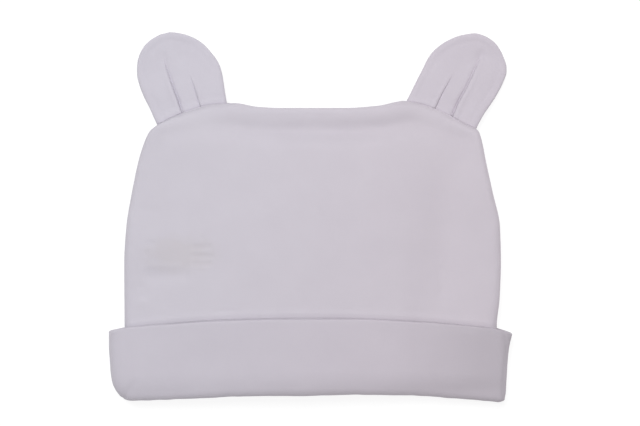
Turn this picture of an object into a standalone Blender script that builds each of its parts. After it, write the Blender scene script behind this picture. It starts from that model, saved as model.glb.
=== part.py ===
"""A baby hat with two ears, lying on its back with its front panel up.

+X runs to the ear on the right, +Y from the brim towards the ears, +Z up. Lengths are in metres.
The crown is a front and a back panel that meet at side seams and a top seam. The brim is a ring of
cloth folded up over the lower edge of the crown. An ear is sewn into each end of the top seam.
Heights along Y are counted from the line through the two lower corners of the brim, the base line.
The finished hat is moved so that the origin lies under the middle of its box.
"""
import math
from collections import namedtuple

import bmesh
import bpy
from mathutils import Vector

# Crown, lying flat
CROWN_WIDTH = 0.1758
SHOULDER_HEIGHT = 0.1285
SEAM_HEIGHT = 0.0070
EDGE_RADIUS = 0.0050
SWELL = 0.0080
PANEL_WALL = 0.0016
SEAM_GAP = 0.0003
SEAM_STAND = 0.0005

# Brim, turned up over the crown
CUFF_HEIGHT = 0.0324
CUFF_BOW = 0.0064
CUFF_FLARE = 0.0060
CUFF_WALL = 0.0020
CUFF_CLEARANCE = 0.0006
CUFF_RAMP = 0.0150
FOLD_ARCH = 0.0025
FOLD_RADIUS = 0.0018
FOLD_TUCK = 0.0100

# Ears
EAR_LENGTH = 0.0406
EAR_WIDTH = 0.0400
EAR_THICKNESS = 0.0032
EAR_LIFT = 0.0003
PLEAT_DEPTH = 0.0012
PLEAT_FOLD = 0.0004

# Faces across, along and around each piece
ROUND_STEPS = 3
PANEL_COLUMNS = 22
CUFF_ROWS_INSIDE = 3
RAMP_ROWS = 4
CROWN_BODY_ROWS = 7
CUFF_LEG_ROWS = 5
FOLD_STEPS = 6
TUCK_ROWS = 2

CrownRow = namedtuple("CrownRow", "up left right swell")
TopRow = namedtuple("TopRow", "across height")
CuffRow = namedtuple("CuffRow", "up left right")
Dent = namedtuple("Dent", "across up half_width half_height depth")
EarRow = namedtuple("EarRow", "along outer inner")
Pleat = namedtuple("Pleat", "base tip reach")
Ear = namedtuple("Ear", "name side seam_end tilt outline pleats")

# Half widths of the crown as shares of half its width, by share of the shoulder's height,
# and how much of the swell each height has
CROWN_OUTLINE = (
    CrownRow(0.000, 0.950, 0.980, 0.82),
    CrownRow(0.080, 0.958, 0.984, 0.88),
    CrownRow(0.270, 1.000, 0.980, 0.98),
    CrownRow(0.370, 1.000, 0.995, 1.00),
    CrownRow(0.500, 1.000, 1.000, 1.00),
    CrownRow(0.630, 0.989, 0.995, 0.95),
    CrownRow(0.760, 0.960, 0.959, 0.82),
    CrownRow(0.870, 0.927, 0.921, 0.60),
    CrownRow(0.930, 0.900, 0.904, 0.42),
    CrownRow(0.975, 0.868, 0.884, 0.25),
    CrownRow(1.000, 0.822, 0.866, 0.15),
)

# Height of the top seam as a share of the shoulder's height, by share of its half width
TOP_SEAM = (
    TopRow(-1.00, 1.000),
    TopRow(-0.85, 1.041),
    TopRow(-0.62, 1.077),
    TopRow(-0.50, 1.079),
    TopRow(-0.35, 1.065),
    TopRow(-0.20, 1.061),
    TopRow(0.00, 1.061),
    TopRow(0.20, 1.061),
    TopRow(0.40, 1.069),
    TopRow(0.58, 1.088),
    TopRow(0.72, 1.072),
    TopRow(0.86, 1.038),
    TopRow(1.00, 0.994),
)

# Half widths of the brim as shares of the crown's half width and the flare together,
# by share of the brim's height at its ends
CUFF_OUTLINE = (
    CuffRow(0.00, 0.921, 0.950),
    CuffRow(0.07, 0.951, 0.957),
    CuffRow(0.15, 0.974, 0.965),
    CuffRow(0.25, 0.990, 0.967),
    CuffRow(0.42, 1.000, 0.972),
    CuffRow(0.60, 1.006, 0.977),
    CuffRow(0.80, 1.008, 0.982),
    CuffRow(1.00, 1.008, 0.992),
)

# Soft dents of the front panel: place and reach as shares of the crown's half width and of the
# shoulder's height, depth as a share of the swell
DENTS = (
    Dent(0.08, 1.000, 0.46, 0.045, 0.14),
    Dent(0.60, 0.600, 0.13, 0.330, 0.20),
    Dent(-0.84, 0.455, 0.11, 0.070, 0.12),
    Dent(0.86, 0.930, 0.12, 0.110, 0.14),
    Dent(-0.42, 0.820, 0.20, 0.160, 0.10),
)

# Outline of each ear as it lies: half widths as shares of half the ear's width, by share of its length
LEFT_EAR_OUTLINE = (
    EarRow(0.00, 0.865, 0.895),
    EarRow(0.10, 0.905, 0.905),
    EarRow(0.20, 0.940, 0.915),
    EarRow(0.34, 1.010, 0.925),
    EarRow(0.46, 1.045, 0.915),
    EarRow(0.56, 1.035, 0.870),
    EarRow(0.66, 0.975, 0.800),
    EarRow(0.76, 0.900, 0.690),
    EarRow(0.84, 0.790, 0.555),
    EarRow(0.91, 0.650, 0.370),
    EarRow(0.96, 0.480, 0.180),
    EarRow(0.99, 0.300, 0.020),
    EarRow(1.00, 0.210, -0.060),
)
RIGHT_EAR_OUTLINE = (
    EarRow(0.00, 0.880, 0.900),
    EarRow(0.07, 0.920, 0.880),
    EarRow(0.18, 0.980, 0.850),
    EarRow(0.28, 1.025, 0.820),
    EarRow(0.40, 1.080, 0.780),
    EarRow(0.55, 1.130, 0.735),
    EarRow(0.66, 1.125, 0.660),
    EarRow(0.76, 1.065, 0.540),
    EarRow(0.84, 0.960, 0.405),
    EarRow(0.91, 0.815, 0.240),
    EarRow(0.96, 0.650, 0.070),
    EarRow(0.99, 0.440, -0.060),
    EarRow(1.00, 0.330, -0.120),
)

# Pleat lines of each ear, outer one first: shares of the half width at the base and at the tip,
# and how far up the ear the fold can be seen
LEFT_EAR_PLEATS = (Pleat(-0.27, -0.17, 0.72), Pleat(0.28, 0.25, 0.50))
RIGHT_EAR_PLEATS = (Pleat(-0.32, -0.03, 0.74), Pleat(0.20, 0.33, 0.50))

EARS = (
    Ear("ear_left", -1, 0.550, math.radians(14.0), LEFT_EAR_OUTLINE, LEFT_EAR_PLEATS),
    Ear("ear_right", 1, 0.575, math.radians(19.6), RIGHT_EAR_OUTLINE, RIGHT_EAR_PLEATS),
)

# Where an ear's faces lie: shares from a rim to the pleat line next to it, and shares of its length
EAR_SIDE_SHARES = (0.0, 0.03, 0.10, 0.32, 0.58, 0.82, 0.97)
EAR_ALONG_SHARES = (0.0, 0.08, 0.17, 0.27, 0.37, 0.47, 0.57, 0.66, 0.75, 0.83, 0.90, 0.95, 0.985, 1.0)

# Shares of an ear's own sizes: the slope at each side of the pleat's strip, the thickness left at the
# tip, how far up the seam's curve can be felt, and where the ear comes down on the table
PLEAT_SLOPE_SHARE = 0.12
TIP_THICKNESS_SHARE = 0.30
SEAM_CURVE_REACH = 0.70
DROOP_REACH = 0.85

CLOTH_COLOURS = {
    "front_panel": (0.600, 0.575, 0.650, 1.0),
    "back_panel": (0.590, 0.565, 0.640, 1.0),
    "cuff": (0.580, 0.550, 0.625, 1.0),
    "ear_left": (0.610, 0.585, 0.660, 1.0),
    "ear_right": (0.605, 0.580, 0.655, 1.0),
}
CLOTH_ROUGHNESS = 0.9

# Sizes that follow from the ones above
HALF_CROWN = CROWN_WIDTH / 2
HALF_CUFF = HALF_CROWN + CUFF_FLARE
CUFF_STACK = CUFF_WALL + CUFF_CLEARANCE
SEAM_RISE = SEAM_GAP / 2 + SEAM_STAND

# Points of the brim's ring closer than this are one
SAME_POINT = 1e-6


def clear_scene():
    for old in list(bpy.data.objects):
        bpy.data.objects.remove(old, do_unlink=True)


def mix(start, end, share):
    return start + (end - start) * share


def eased(share):
    """Runs from 0 to 1 with a level start and end."""
    share = min(max(share, 0.0), 1.0)
    return share * share * (3 - 2 * share)


def quarter_round(distance, radius):
    """Height of a round edge as a share of its full height, by distance in from the edge."""
    share = min(max(distance / radius, 0.0), 1.0)
    return math.sqrt(1 - (1 - share) ** 2)


def slope_at(rows, column, index):
    """Slope of a table's column at one of its rows, level where the column turns."""
    if index in (0, len(rows) - 1):
        near = 1 if index == 0 else index - 1
        return (getattr(rows[near], column) - getattr(rows[index], column)) / (rows[near][0] - rows[index][0])
    before, here, after = rows[index - 1:index + 2]
    left = (getattr(here, column) - getattr(before, column)) / (here[0] - before[0])
    right = (getattr(after, column) - getattr(here, column)) / (after[0] - here[0])
    if left * right <= 0:
        return 0.0
    return 2 * left * right / (left + right)


def read(rows, column, place):
    """Value of a column at a place, on a smooth curve through the table's rows."""
    place = min(max(place, rows[0][0]), rows[-1][0])
    index = 0
    while index < len(rows) - 2 and rows[index + 1][0] < place:
        index += 1
    low, high = rows[index], rows[index + 1]
    span = high[0] - low[0]
    share = (place - low[0]) / span
    rise = mix(getattr(low, column), getattr(high, column), eased(share))
    lead_in = slope_at(rows, column, index) * span * share * (1 - share) ** 2
    lead_out = slope_at(rows, column, index + 1) * span * share ** 2 * (1 - share)
    return rise + lead_in - lead_out


def side_of(across):
    return "left" if across < 0 else "right"


def crown_half_width(across, height):
    return HALF_CROWN * read(CROWN_OUTLINE, side_of(across), height / SHOULDER_HEIGHT)


def cuff_half_width(across, height):
    """Half width of the middle of the brim's cloth."""
    return HALF_CUFF * read(CUFF_OUTLINE, side_of(across), height / CUFF_HEIGHT) - CUFF_WALL / 2


def top_seam_height(across):
    return SHOULDER_HEIGHT * read(TOP_SEAM, "height", across)


def fold_height(across):
    """Height of the middle of the cloth at the brim's bottom fold."""
    return FOLD_ARCH * (1 - across ** 2) + CUFF_WALL / 2


def cuff_edge_height(across):
    return CUFF_HEIGHT + CUFF_BOW * (1 - abs(across) ** 3)


def panel_bottom_height(across):
    return fold_height(across) + FOLD_TUCK + SEAM_GAP


def dent_depth(across, height):
    depth = 0.0
    for dent in DENTS:
        sideways = (across - dent.across) / dent.half_width
        upwards = (height / SHOULDER_HEIGHT - dent.up) / dent.half_height
        depth += dent.depth * SWELL * math.exp(-(sideways ** 2 + upwards ** 2))
    return depth


def front_rise(across, height, offset):
    """Height of the crown's front over its seam, away from the round edges, at an offset outwards."""
    swell = SWELL * read(CROWN_OUTLINE, "swell", height / top_seam_height(across))
    return EDGE_RADIUS + offset + swell * (1 - across ** 2) - dent_depth(across, height)


def back_drop(across, height, offset):
    """The same for the back, which lies flat on the table, and on the brim's cloth inside the brim."""
    past_cuff = (height - cuff_edge_height(across)) / CUFF_RAMP
    floor = CUFF_STACK * (1 - eased(past_cuff))
    return SEAM_HEIGHT - SEAM_RISE - floor + offset


def column_shares():
    """Places across a panel, close together at its round edges."""
    round_share = EDGE_RADIUS / HALF_CROWN
    steps = [math.pi / 2 * step / ROUND_STEPS for step in range(ROUND_STEPS)]
    left_edge = [-1 + round_share * (1 - math.cos(angle)) for angle in steps]
    width = 2 - 2 * round_share
    middle = [-1 + round_share + width * step / PANEL_COLUMNS for step in range(PANEL_COLUMNS + 1)]
    return left_edge + middle + [-share for share in reversed(left_edge)]


def panel_row_heights(across):
    """Heights of a panel's rows: inside the brim, over the ramp past it, up the body, round the top."""
    bottom = panel_bottom_height(across)
    cuff_edge = cuff_edge_height(across)
    ramp_end = cuff_edge + CUFF_RAMP
    top = top_seam_height(across)
    round_start = top - EDGE_RADIUS
    heights = [mix(bottom, cuff_edge, step / CUFF_ROWS_INSIDE) for step in range(CUFF_ROWS_INSIDE)]
    heights += [mix(cuff_edge, ramp_end, step / RAMP_ROWS) for step in range(RAMP_ROWS)]
    heights += [mix(ramp_end, round_start, step / CROWN_BODY_ROWS) for step in range(CROWN_BODY_ROWS)]
    for step in range(ROUND_STEPS + 1):
        angle = math.pi / 2 * (1 - step / ROUND_STEPS)
        heights.append(top - EDGE_RADIUS * (1 - math.cos(angle)))
    return heights


def grid_mesh(columns, rows, place):
    """A flat grid whose points are then put in place by column and row, and the points of its first row."""
    mesh = bmesh.new()
    bmesh.ops.create_grid(mesh, x_segments=columns, y_segments=rows, size=1.0)
    first_row = set()
    for point in mesh.verts:
        column = round((point.co.x + 1) / 2 * columns)
        row = round((point.co.y + 1) / 2 * rows)
        point.co = place(column, row)
        if row == 0:
            first_row.add(point)
    return mesh, first_row


def add_piece(collection, name, mesh):
    """Makes an object of a piece's mesh, with a cloth of its own."""
    data = bpy.data.meshes.new(name)
    mesh.to_mesh(data)
    mesh.free()
    data.shade_smooth()
    cloth = bpy.data.materials.new(name + "_cloth")
    cloth.use_nodes = True
    shader = cloth.node_tree.nodes["Principled BSDF"]
    shader.inputs["Base Color"].default_value = CLOTH_COLOURS[name]
    shader.inputs["Roughness"].default_value = CLOTH_ROUGHNESS
    shader.inputs["Metallic"].default_value = 0.0
    data.materials.append(cloth)
    piece = bpy.data.objects.new(name, data)
    collection.objects.link(piece)
    return piece


def add_wall(piece, thickness, offset):
    wall = piece.modifiers.new("wall", "SOLIDIFY")
    wall.thickness = thickness
    wall.offset = offset


def make_panel(collection, name, facing):
    """One half of the crown. Facing is 1 for the front panel and -1 for the back."""
    rise = front_rise if facing > 0 else back_drop
    columns = column_shares()
    row_count = len(panel_row_heights(0.0))
    seam_heights = {side: panel_row_heights(side) for side in (-1.0, 1.0)}

    def place(column, row):
        across = columns[column]
        height = panel_row_heights(across)[row]
        half_width = crown_half_width(across, seam_heights[math.copysign(1.0, across)][row])
        side_round = quarter_round(half_width * (1 - abs(across)), EDGE_RADIUS)
        top_round = quarter_round(top_seam_height(across) - height, EDGE_RADIUS)
        level = SEAM_RISE + side_round * top_round * rise(across, height, 0.0)
        return Vector((half_width * across, height, SEAM_HEIGHT + facing * level))

    mesh, bottom_row = grid_mesh(len(columns) - 1, row_count - 1, place)
    if facing < 0:
        bmesh.ops.reverse_faces(mesh, faces=mesh.faces)
    seam_edges = [edge for edge in mesh.edges if edge.is_boundary and not bottom_row.issuperset(edge.verts)]
    upright = bmesh.ops.extrude_edge_only(mesh, edges=seam_edges)
    for point in upright["geom"]:
        if isinstance(point, bmesh.types.BMVert):
            point.co.z = SEAM_HEIGHT + facing * SEAM_GAP / 2
    piece = add_piece(collection, name, mesh)
    add_wall(piece, PANEL_WALL, -1.0)
    return piece


def cuff_profile():
    """The brim's cloth from its free edge, round the fold, to its edge inside the hat.

    Each station gives the leg that it is on, its share along it and its offset out of the crown.
    """
    outside = CUFF_CLEARANCE + CUFF_WALL / 2
    inside = outside - 2 * FOLD_RADIUS
    tucked = -PANEL_WALL / 2
    stations = [("outer", step / CUFF_LEG_ROWS, outside) for step in range(CUFF_LEG_ROWS)]
    for step in range(FOLD_STEPS):
        angle = math.pi * step / FOLD_STEPS
        stations.append(("fold", step / FOLD_STEPS, outside - FOLD_RADIUS * (1 - math.cos(angle))))
    for step in range(TUCK_ROWS + 1):
        share = step / TUCK_ROWS
        stations.append(("inner", share, mix(inside, tucked, eased(share))))
    return stations


def cuff_height(leg, share, across):
    """Height of a station of the brim's profile."""
    fold = fold_height(across)
    if leg == "outer":
        return mix(cuff_edge_height(across), fold + FOLD_RADIUS, share)
    if leg == "fold":
        return fold + FOLD_RADIUS * (1 - math.sin(math.pi * share))
    return mix(fold + FOLD_RADIUS, fold + FOLD_TUCK, share)


def make_cuff(collection):
    """The turned-up brim, a ring round the crown's lower edge."""
    shares = column_shares()
    around = [(share, 1) for share in shares] + [(share, -1) for share in reversed(shares)]
    around.append(around[0])
    profile = cuff_profile()

    def place(column, row):
        across, facing = around[column]
        leg, share, offset = profile[row]
        height = cuff_height(leg, share, across)
        end_height = cuff_height(leg, share, 1.0)
        outer_width = cuff_half_width(across, end_height)
        inner_width = crown_half_width(across, end_height) + offset
        inward = {"outer": 0.0, "fold": eased(share), "inner": 1.0}[leg]
        half_width = mix(outer_width, inner_width, inward)
        side_round = quarter_round(half_width * (1 - abs(across)), EDGE_RADIUS + offset)
        rise = front_rise if facing > 0 else back_drop
        level = SEAM_RISE + side_round * rise(across, height, offset)
        return Vector((half_width * across, height, SEAM_HEIGHT + facing * level))

    mesh, _ = grid_mesh(len(around) - 1, len(profile) - 1, place)
    bmesh.ops.remove_doubles(mesh, verts=mesh.verts, dist=SAME_POINT)
    bmesh.ops.reverse_faces(mesh, faces=mesh.faces)
    piece = add_piece(collection, "cuff", mesh)
    add_wall(piece, CUFF_WALL, 0.0)
    return piece


def ear_columns(pleats, along):
    """Places across an ear from its outer rim to its inner rim, with a close pair at each pleat line."""
    outer_line = mix(pleats[0].base, pleats[0].tip, along)
    inner_line = mix(pleats[1].base, pleats[1].tip, along)
    outer_side = [mix(-1.0, outer_line, share) for share in EAR_SIDE_SHARES]
    inner_side = [mix(1.0, inner_line, share) for share in reversed(EAR_SIDE_SHARES)]
    slope = PLEAT_SLOPE_SHARE * (inner_line - outer_line)
    strip = [outer_line + slope, (outer_line + inner_line) / 2, inner_line - slope]
    return outer_side + strip + inner_side


def ear_relief(pleats, along, column, last_column):
    """Height of the pleat's folds over the ear's face: the strip between its lines lies lower."""
    side_count = len(EAR_SIDE_SHARES)
    outer_fade = max(0.0, 1 - (along / pleats[0].reach) ** 2)
    inner_fade = max(0.0, 1 - (along / pleats[1].reach) ** 2)
    if column < side_count:
        return PLEAT_FOLD * outer_fade * eased(EAR_SIDE_SHARES[column])
    if column > last_column - side_count:
        return PLEAT_FOLD * inner_fade * eased(EAR_SIDE_SHARES[last_column - column])
    share = (column - side_count) / 2
    return -PLEAT_DEPTH * mix(outer_fade, inner_fade, share)


def make_ear(collection, ear):
    """An ear: a flat lobe with round rims, lofted from its seam on the crown to its tip."""
    seam_half_width = crown_half_width(ear.side, top_seam_height(ear.side))
    half_thickness = EAR_THICKNESS / 2
    axis = Vector((ear.side * math.sin(ear.tilt), math.cos(ear.tilt)))
    inwards = Vector((-ear.side * axis.y, ear.side * axis.x))

    def half_width(along):
        both = read(ear.outline, "outer", along) + read(ear.outline, "inner", along)
        return EAR_WIDTH / 2 * both / 2

    def place_across(share, along):
        """Place of a share of the ear's width, towards its inner rim from its axis."""
        lean = read(ear.outline, "inner", along) - read(ear.outline, "outer", along)
        return EAR_WIDTH / 2 * lean / 2 + half_width(along) * share

    def crown_point(across):
        return Vector((seam_half_width * across, top_seam_height(across)))

    def seam_point(share):
        """Point of the ear's seam, just clear of the crown's top seam."""
        across = ear.side * mix(1.0, ear.seam_end, (share + 1) / 2)
        nearby = SEAM_GAP / seam_half_width
        run = (crown_point(across + nearby) - crown_point(across - nearby)).normalized()
        return crown_point(across) + Vector((-run.y, run.x)) * SEAM_GAP

    middle = (crown_point(ear.side) + crown_point(ear.side * ear.seam_end)) / 2

    def plan_point(share, along):
        on_axes = middle + inwards * place_across(share, along) + axis * EAR_LENGTH * along
        flat_seam = middle + inwards * place_across(share, 0.0)
        return on_axes + (seam_point(share) - flat_seam) * (1 - eased(along / SEAM_CURVE_REACH))

    sections = []
    for along in EAR_ALONG_SHARES:
        columns = ear_columns(ear.pleats, along)
        last_column = len(columns) - 1
        to_tip = quarter_round((1 - along) * EAR_LENGTH, half_thickness)
        thickness = half_thickness * max(to_tip, TIP_THICKNESS_SHARE)
        centre = mix(SEAM_HEIGHT, half_thickness + EAR_LIFT, eased(along / DROOP_REACH))
        upper, lower = [], []
        for column, share in enumerate(columns):
            plan = plan_point(share, along)
            from_rim = (1 - abs(share)) * half_width(along)
            rim = thickness * quarter_round(from_rim, half_thickness)
            relief = ear_relief(ear.pleats, along, column, last_column) * rim / half_thickness
            upper.append(Vector((plan.x, plan.y, centre + rim + relief)))
            lower.append(Vector((plan.x, plan.y, centre - rim)))
        sections.append((upper, lower))
    mesh = loft_lobe(sections)
    return add_piece(collection, ear.name, mesh)


def loft_lobe(sections):
    """Closes an upper and a lower skin that share their rims, with a narrow band at each end."""
    mesh = bmesh.new()
    upper = [[mesh.verts.new(point) for point in section[0]] for section in sections]
    lower = []
    for section, top in zip(sections, upper):
        inside = [mesh.verts.new(point) for point in section[1][1:-1]]
        lower.append([top[0]] + inside + [top[-1]])
    for near, far in zip(range(len(upper) - 1), range(1, len(upper))):
        for left in range(len(upper[0]) - 1):
            right = left + 1
            mesh.faces.new((upper[near][left], upper[near][right], upper[far][right], upper[far][left]))
            mesh.faces.new((lower[near][left], lower[far][left], lower[far][right], lower[near][right]))
    for end in (0, -1):
        for left in range(len(upper[0]) - 1):
            right = left + 1
            band = [upper[end][left], lower[end][left], lower[end][right], upper[end][right]]
            band = list(dict.fromkeys(band))
            mesh.faces.new(band)
    bmesh.ops.recalc_face_normals(mesh, faces=mesh.faces)
    return mesh


def stand_on_origin(pieces):
    """Moves the hat so that the middle of its box lies over the origin and its lowest point at zero."""
    bpy.context.view_layer.update()
    depsgraph = bpy.context.evaluated_depsgraph_get()
    points = []
    for piece in pieces:
        solid = piece.evaluated_get(depsgraph).to_mesh()
        points += [point.co.copy() for point in solid.vertices]
    low = Vector([min(point[axis] for point in points) for axis in range(3)])
    high = Vector([max(point[axis] for point in points) for axis in range(3)])
    middle = (low + high) / 2
    for piece in pieces:
        piece.location = (-middle.x, -middle.y, -low.z)


def main():
    clear_scene()
    collection = bpy.data.collections.new("baby_hat")
    bpy.context.scene.collection.children.link(collection)
    pieces = [
        make_panel(collection, "front_panel", 1),
        make_panel(collection, "back_panel", -1),
        make_cuff(collection),
    ]
    pieces += [make_ear(collection, ear) for ear in EARS]
    stand_on_origin(pieces)


main()
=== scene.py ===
# %% [markdown]
# # A baby hat with two ears
#
# The hat is cut from thin cotton interlock. It has a front and a back panel, a doubled brim that is
# turned up, and an ear sewn into each end of the top seam. It lies on its back, and the camera looks
# straight down on it. Each piece is built here as cloth with a real thickness, at the place that the
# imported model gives, and stands for the plain solid of the same name.

from collections import namedtuple

import bmesh
import bpy
import numpy as np
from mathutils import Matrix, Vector


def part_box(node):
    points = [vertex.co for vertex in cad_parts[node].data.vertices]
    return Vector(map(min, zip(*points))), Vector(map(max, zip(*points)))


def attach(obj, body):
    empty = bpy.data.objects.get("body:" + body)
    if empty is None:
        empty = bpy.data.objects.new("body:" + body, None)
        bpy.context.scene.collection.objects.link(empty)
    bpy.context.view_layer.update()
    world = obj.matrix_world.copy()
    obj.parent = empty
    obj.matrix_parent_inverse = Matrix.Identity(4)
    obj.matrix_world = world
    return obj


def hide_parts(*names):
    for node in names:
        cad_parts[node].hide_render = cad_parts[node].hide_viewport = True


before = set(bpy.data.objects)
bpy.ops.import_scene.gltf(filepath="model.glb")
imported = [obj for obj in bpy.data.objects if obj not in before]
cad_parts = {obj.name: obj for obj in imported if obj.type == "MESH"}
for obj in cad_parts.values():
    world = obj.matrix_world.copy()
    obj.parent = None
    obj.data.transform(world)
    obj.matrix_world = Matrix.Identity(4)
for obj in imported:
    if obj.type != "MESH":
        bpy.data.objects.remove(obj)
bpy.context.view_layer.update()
print("nodes:", ", ".join(sorted(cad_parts)))

# %% [markdown]
# ## The hat's sizes
#
# The solids were made from a few named lengths and from tables of how each outline runs. The lengths
# are repeated here. So are the tables, with some rows moved by a millimetre or so where the real
# outline is finer than the solids. The cloth follows them and adds its own relief. All lengths are in
# metres. Heights run up the hat from the lower corners of the brim.

# %% Sizes of the crown, the brim and the ears
CROWN_WIDTH = 0.1758
SHOULDER_HEIGHT = 0.1285
SEAM_HEIGHT = 0.0070
EDGE_RADIUS = 0.0050
SWELL = 0.0080
PANEL_WALL = 0.0016
SEAM_GAP = 0.0003
SEAM_STAND = 0.0005
SEAM_RISE = SEAM_GAP / 2 + SEAM_STAND

CUFF_HEIGHT = 0.0324
CUFF_BOW = 0.0064
CUFF_FLARE = 0.0060
CUFF_WALL = 0.0020
CUFF_CLEARANCE = 0.0006
CUFF_RAMP = 0.0150
FOLD_ARCH = 0.0025
FOLD_RADIUS = 0.0018
FOLD_TUCK = 0.0100

EAR_LENGTH = 0.0406
EAR_WIDTH = 0.0400
EAR_THICKNESS = 0.0032
EAR_LIFT = 0.0003

HALF_CROWN = CROWN_WIDTH / 2
HALF_CUFF = HALF_CROWN + CUFF_FLARE
CUFF_STACK = CUFF_WALL + CUFF_CLEARANCE
print("crown's width, mm:", round(1000 * CROWN_WIDTH, 1))
print("brim's height at its ends, mm:", round(1000 * CUFF_HEIGHT, 1))

# %% Outline of the crown
# Share of the shoulder's height, half widths left and right, and how much the front swells there
CROWN_OUTLINE = np.array([
    (0.000, 0.950, 0.980, 0.82),
    (0.080, 0.958, 0.984, 0.88),
    (0.270, 0.994, 0.978, 0.98),
    (0.370, 0.995, 0.993, 1.00),
    (0.500, 0.996, 1.000, 1.00),
    (0.630, 0.985, 0.995, 0.95),
    (0.760, 0.954, 0.955, 0.82),
    (0.870, 0.920, 0.920, 0.60),
    (0.930, 0.893, 0.903, 0.42),
    (0.975, 0.863, 0.884, 0.25),
    (1.000, 0.822, 0.846, 0.15),
])
LEFT, RIGHT, SWOLLEN = 1, 2, 3
widest_halves = CROWN_OUTLINE[:, LEFT:SWOLLEN].max(axis=0)
print("crown where it is widest, mm:", round(1000 * HALF_CROWN * float(widest_halves.sum()), 1))

# %% Course of the top seam
# Share of the half width across, and the height of the top seam
TOP_SEAM = np.array([
    (-1.00, 1.000),
    (-0.85, 1.041),
    (-0.62, 1.077),
    (-0.50, 1.079),
    (-0.35, 1.065),
    (-0.20, 1.061),
    (0.00, 1.061),
    (0.20, 1.061),
    (0.40, 1.069),
    (0.56, 1.087),
    (0.66, 1.077),
    (0.76, 1.056),
    (0.86, 1.028),
    (0.93, 1.004),
    (1.00, 0.986),
])
print("top seam where it is highest, mm:", round(1000 * SHOULDER_HEIGHT * TOP_SEAM[:, 1].max(), 1))

# %% Outline of the brim
# Share of the brim's height at its ends, and half widths left and right
CUFF_OUTLINE = np.array([
    (0.00, 0.925, 0.958),
    (0.07, 0.951, 0.960),
    (0.15, 0.974, 0.962),
    (0.25, 0.990, 0.963),
    (0.42, 1.000, 0.966),
    (0.60, 1.004, 0.970),
    (0.80, 1.008, 0.977),
    (1.00, 1.008, 0.992),
])
widest_halves = CUFF_OUTLINE[:, LEFT:].max(axis=0)
print("brim where it is widest, mm:", round(1000 * HALF_CUFF * float(widest_halves.sum()), 1))

# %% Outlines of the ears
# Share of the ear's length, and half widths towards its outer and its inner rim
LEFT_EAR_OUTLINE = np.array([
    (0.00, 0.865, 0.895),
    (0.10, 0.905, 0.905),
    (0.20, 0.940, 0.915),
    (0.34, 1.005, 0.925),
    (0.46, 1.040, 0.910),
    (0.56, 1.048, 0.855),
    (0.66, 1.016, 0.764),
    (0.76, 0.952, 0.656),
    (0.84, 0.856, 0.520),
    (0.91, 0.722, 0.346),
    (0.96, 0.556, 0.160),
    (0.99, 0.376, 0.010),
    (1.00, 0.284, -0.060),
])
RIGHT_EAR_OUTLINE = np.array([
    (0.00, 0.895, 0.900),
    (0.07, 0.912, 0.880),
    (0.18, 0.950, 0.850),
    (0.28, 1.006, 0.820),
    (0.40, 1.066, 0.780),
    (0.55, 1.112, 0.735),
    (0.66, 1.122, 0.655),
    (0.76, 1.066, 0.525),
    (0.84, 0.942, 0.380),
    (0.91, 0.798, 0.205),
    (0.96, 0.648, 0.025),
    (0.99, 0.475, -0.105),
    (1.00, 0.350, -0.190),
])
OUTER, INNER = 1, 2
for table in (LEFT_EAR_OUTLINE, RIGHT_EAR_OUTLINE):
    reach = table[:, OUTER:].sum(axis=1).max()
    print("ear where it is widest, mm:", round(1000 * EAR_WIDTH / 2 * float(reach), 1))

# %% [markdown]
# ## Reading a table as a smooth curve
#
# Cloth has no corners in its outline, so a table is read through a cubic curve that passes through
# every row. Its slope at a row is the harmonic mean of the slopes beside it, and level where the
# column turns, so the curve never swings past the values. NumPy reads thousands of places at once.

# %% Mixing and easing
def mix(start, end, share):
    return start + (end - start) * share


def eased(share):
    """Runs from 0 to 1 with a level start and end."""
    share = np.clip(share, 0.0, 1.0)
    return share * share * (3 - 2 * share)


def bump_at(distance, width):
    """A soft hump, 1 in the middle and near 0 two widths away."""
    return np.exp(-(distance / width) ** 2)


print("a quarter of the way, eased:", float(eased(0.25)))

# %% Rolled edges
QUARTER_CIRCLE = 2.0
SIDE_EDGE_POWER = 2.9
TOP_EDGE_POWER = 5.5
TOP_EDGE_POWER_AT_EARS = 2.1


def rolled(distance, radius, power=SIDE_EDGE_POWER):
    """Height of a rolled edge as a share of its full height, by distance in from the edge.

    A power of 2 is a quarter of a circle. A higher one stays flat for longer and then drops."""
    share = np.clip(distance / radius, 0.0, 1.0)
    return (1 - (1 - share) ** power) ** (1 / power)


print("rolled edge, halfway in:", round(float(rolled(0.5, 1.0)), 3))

# %% Reading a table
def row_slopes(places, values):
    rises = np.diff(values) / np.diff(places)
    before, after = rises[:-1], rises[1:]
    same_way = before * after > 0
    total = np.where(same_way, before + after, 1.0)
    inner = np.where(same_way, 2 * before * after / total, 0.0)
    return np.concatenate(([rises[0]], inner, [rises[-1]]))


def read(table, column, where):
    """Values of a table's column at many places at once."""
    places, values = table[:, 0], table[:, column]
    where = np.clip(where, places[0], places[-1])
    index = np.clip(np.searchsorted(places, where) - 1, 0, len(places) - 2)
    span = places[index + 1] - places[index]
    share = (where - places[index]) / span
    slopes = row_slopes(places, values)
    rise = mix(values[index], values[index + 1], eased(share))
    lead_in = slopes[index] * span * share * (1 - share) ** 2
    lead_out = slopes[index + 1] * span * share ** 2 * (1 - share)
    return rise + lead_in - lead_out


# %% Outlines of the crown and the brim
def by_side(table, across, place):
    """A table's half width on whichever side each point lies."""
    return np.where(across < 0, read(table, LEFT, place), read(table, RIGHT, place))


def crown_half_width(across, height):
    return HALF_CROWN * by_side(CROWN_OUTLINE, across, height / SHOULDER_HEIGHT)


def cuff_half_width(across, height):
    """Half width of the middle of the brim's cloth."""
    return HALF_CUFF * by_side(CUFF_OUTLINE, across, height / CUFF_HEIGHT) - CUFF_WALL / 2


def top_seam_height(across):
    return SHOULDER_HEIGHT * read(TOP_SEAM, 1, across)


def fold_height(across):
    """Height of the middle of the cloth at the brim's bottom fold."""
    return FOLD_ARCH * (1 - across ** 2) + CUFF_WALL / 2


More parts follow.
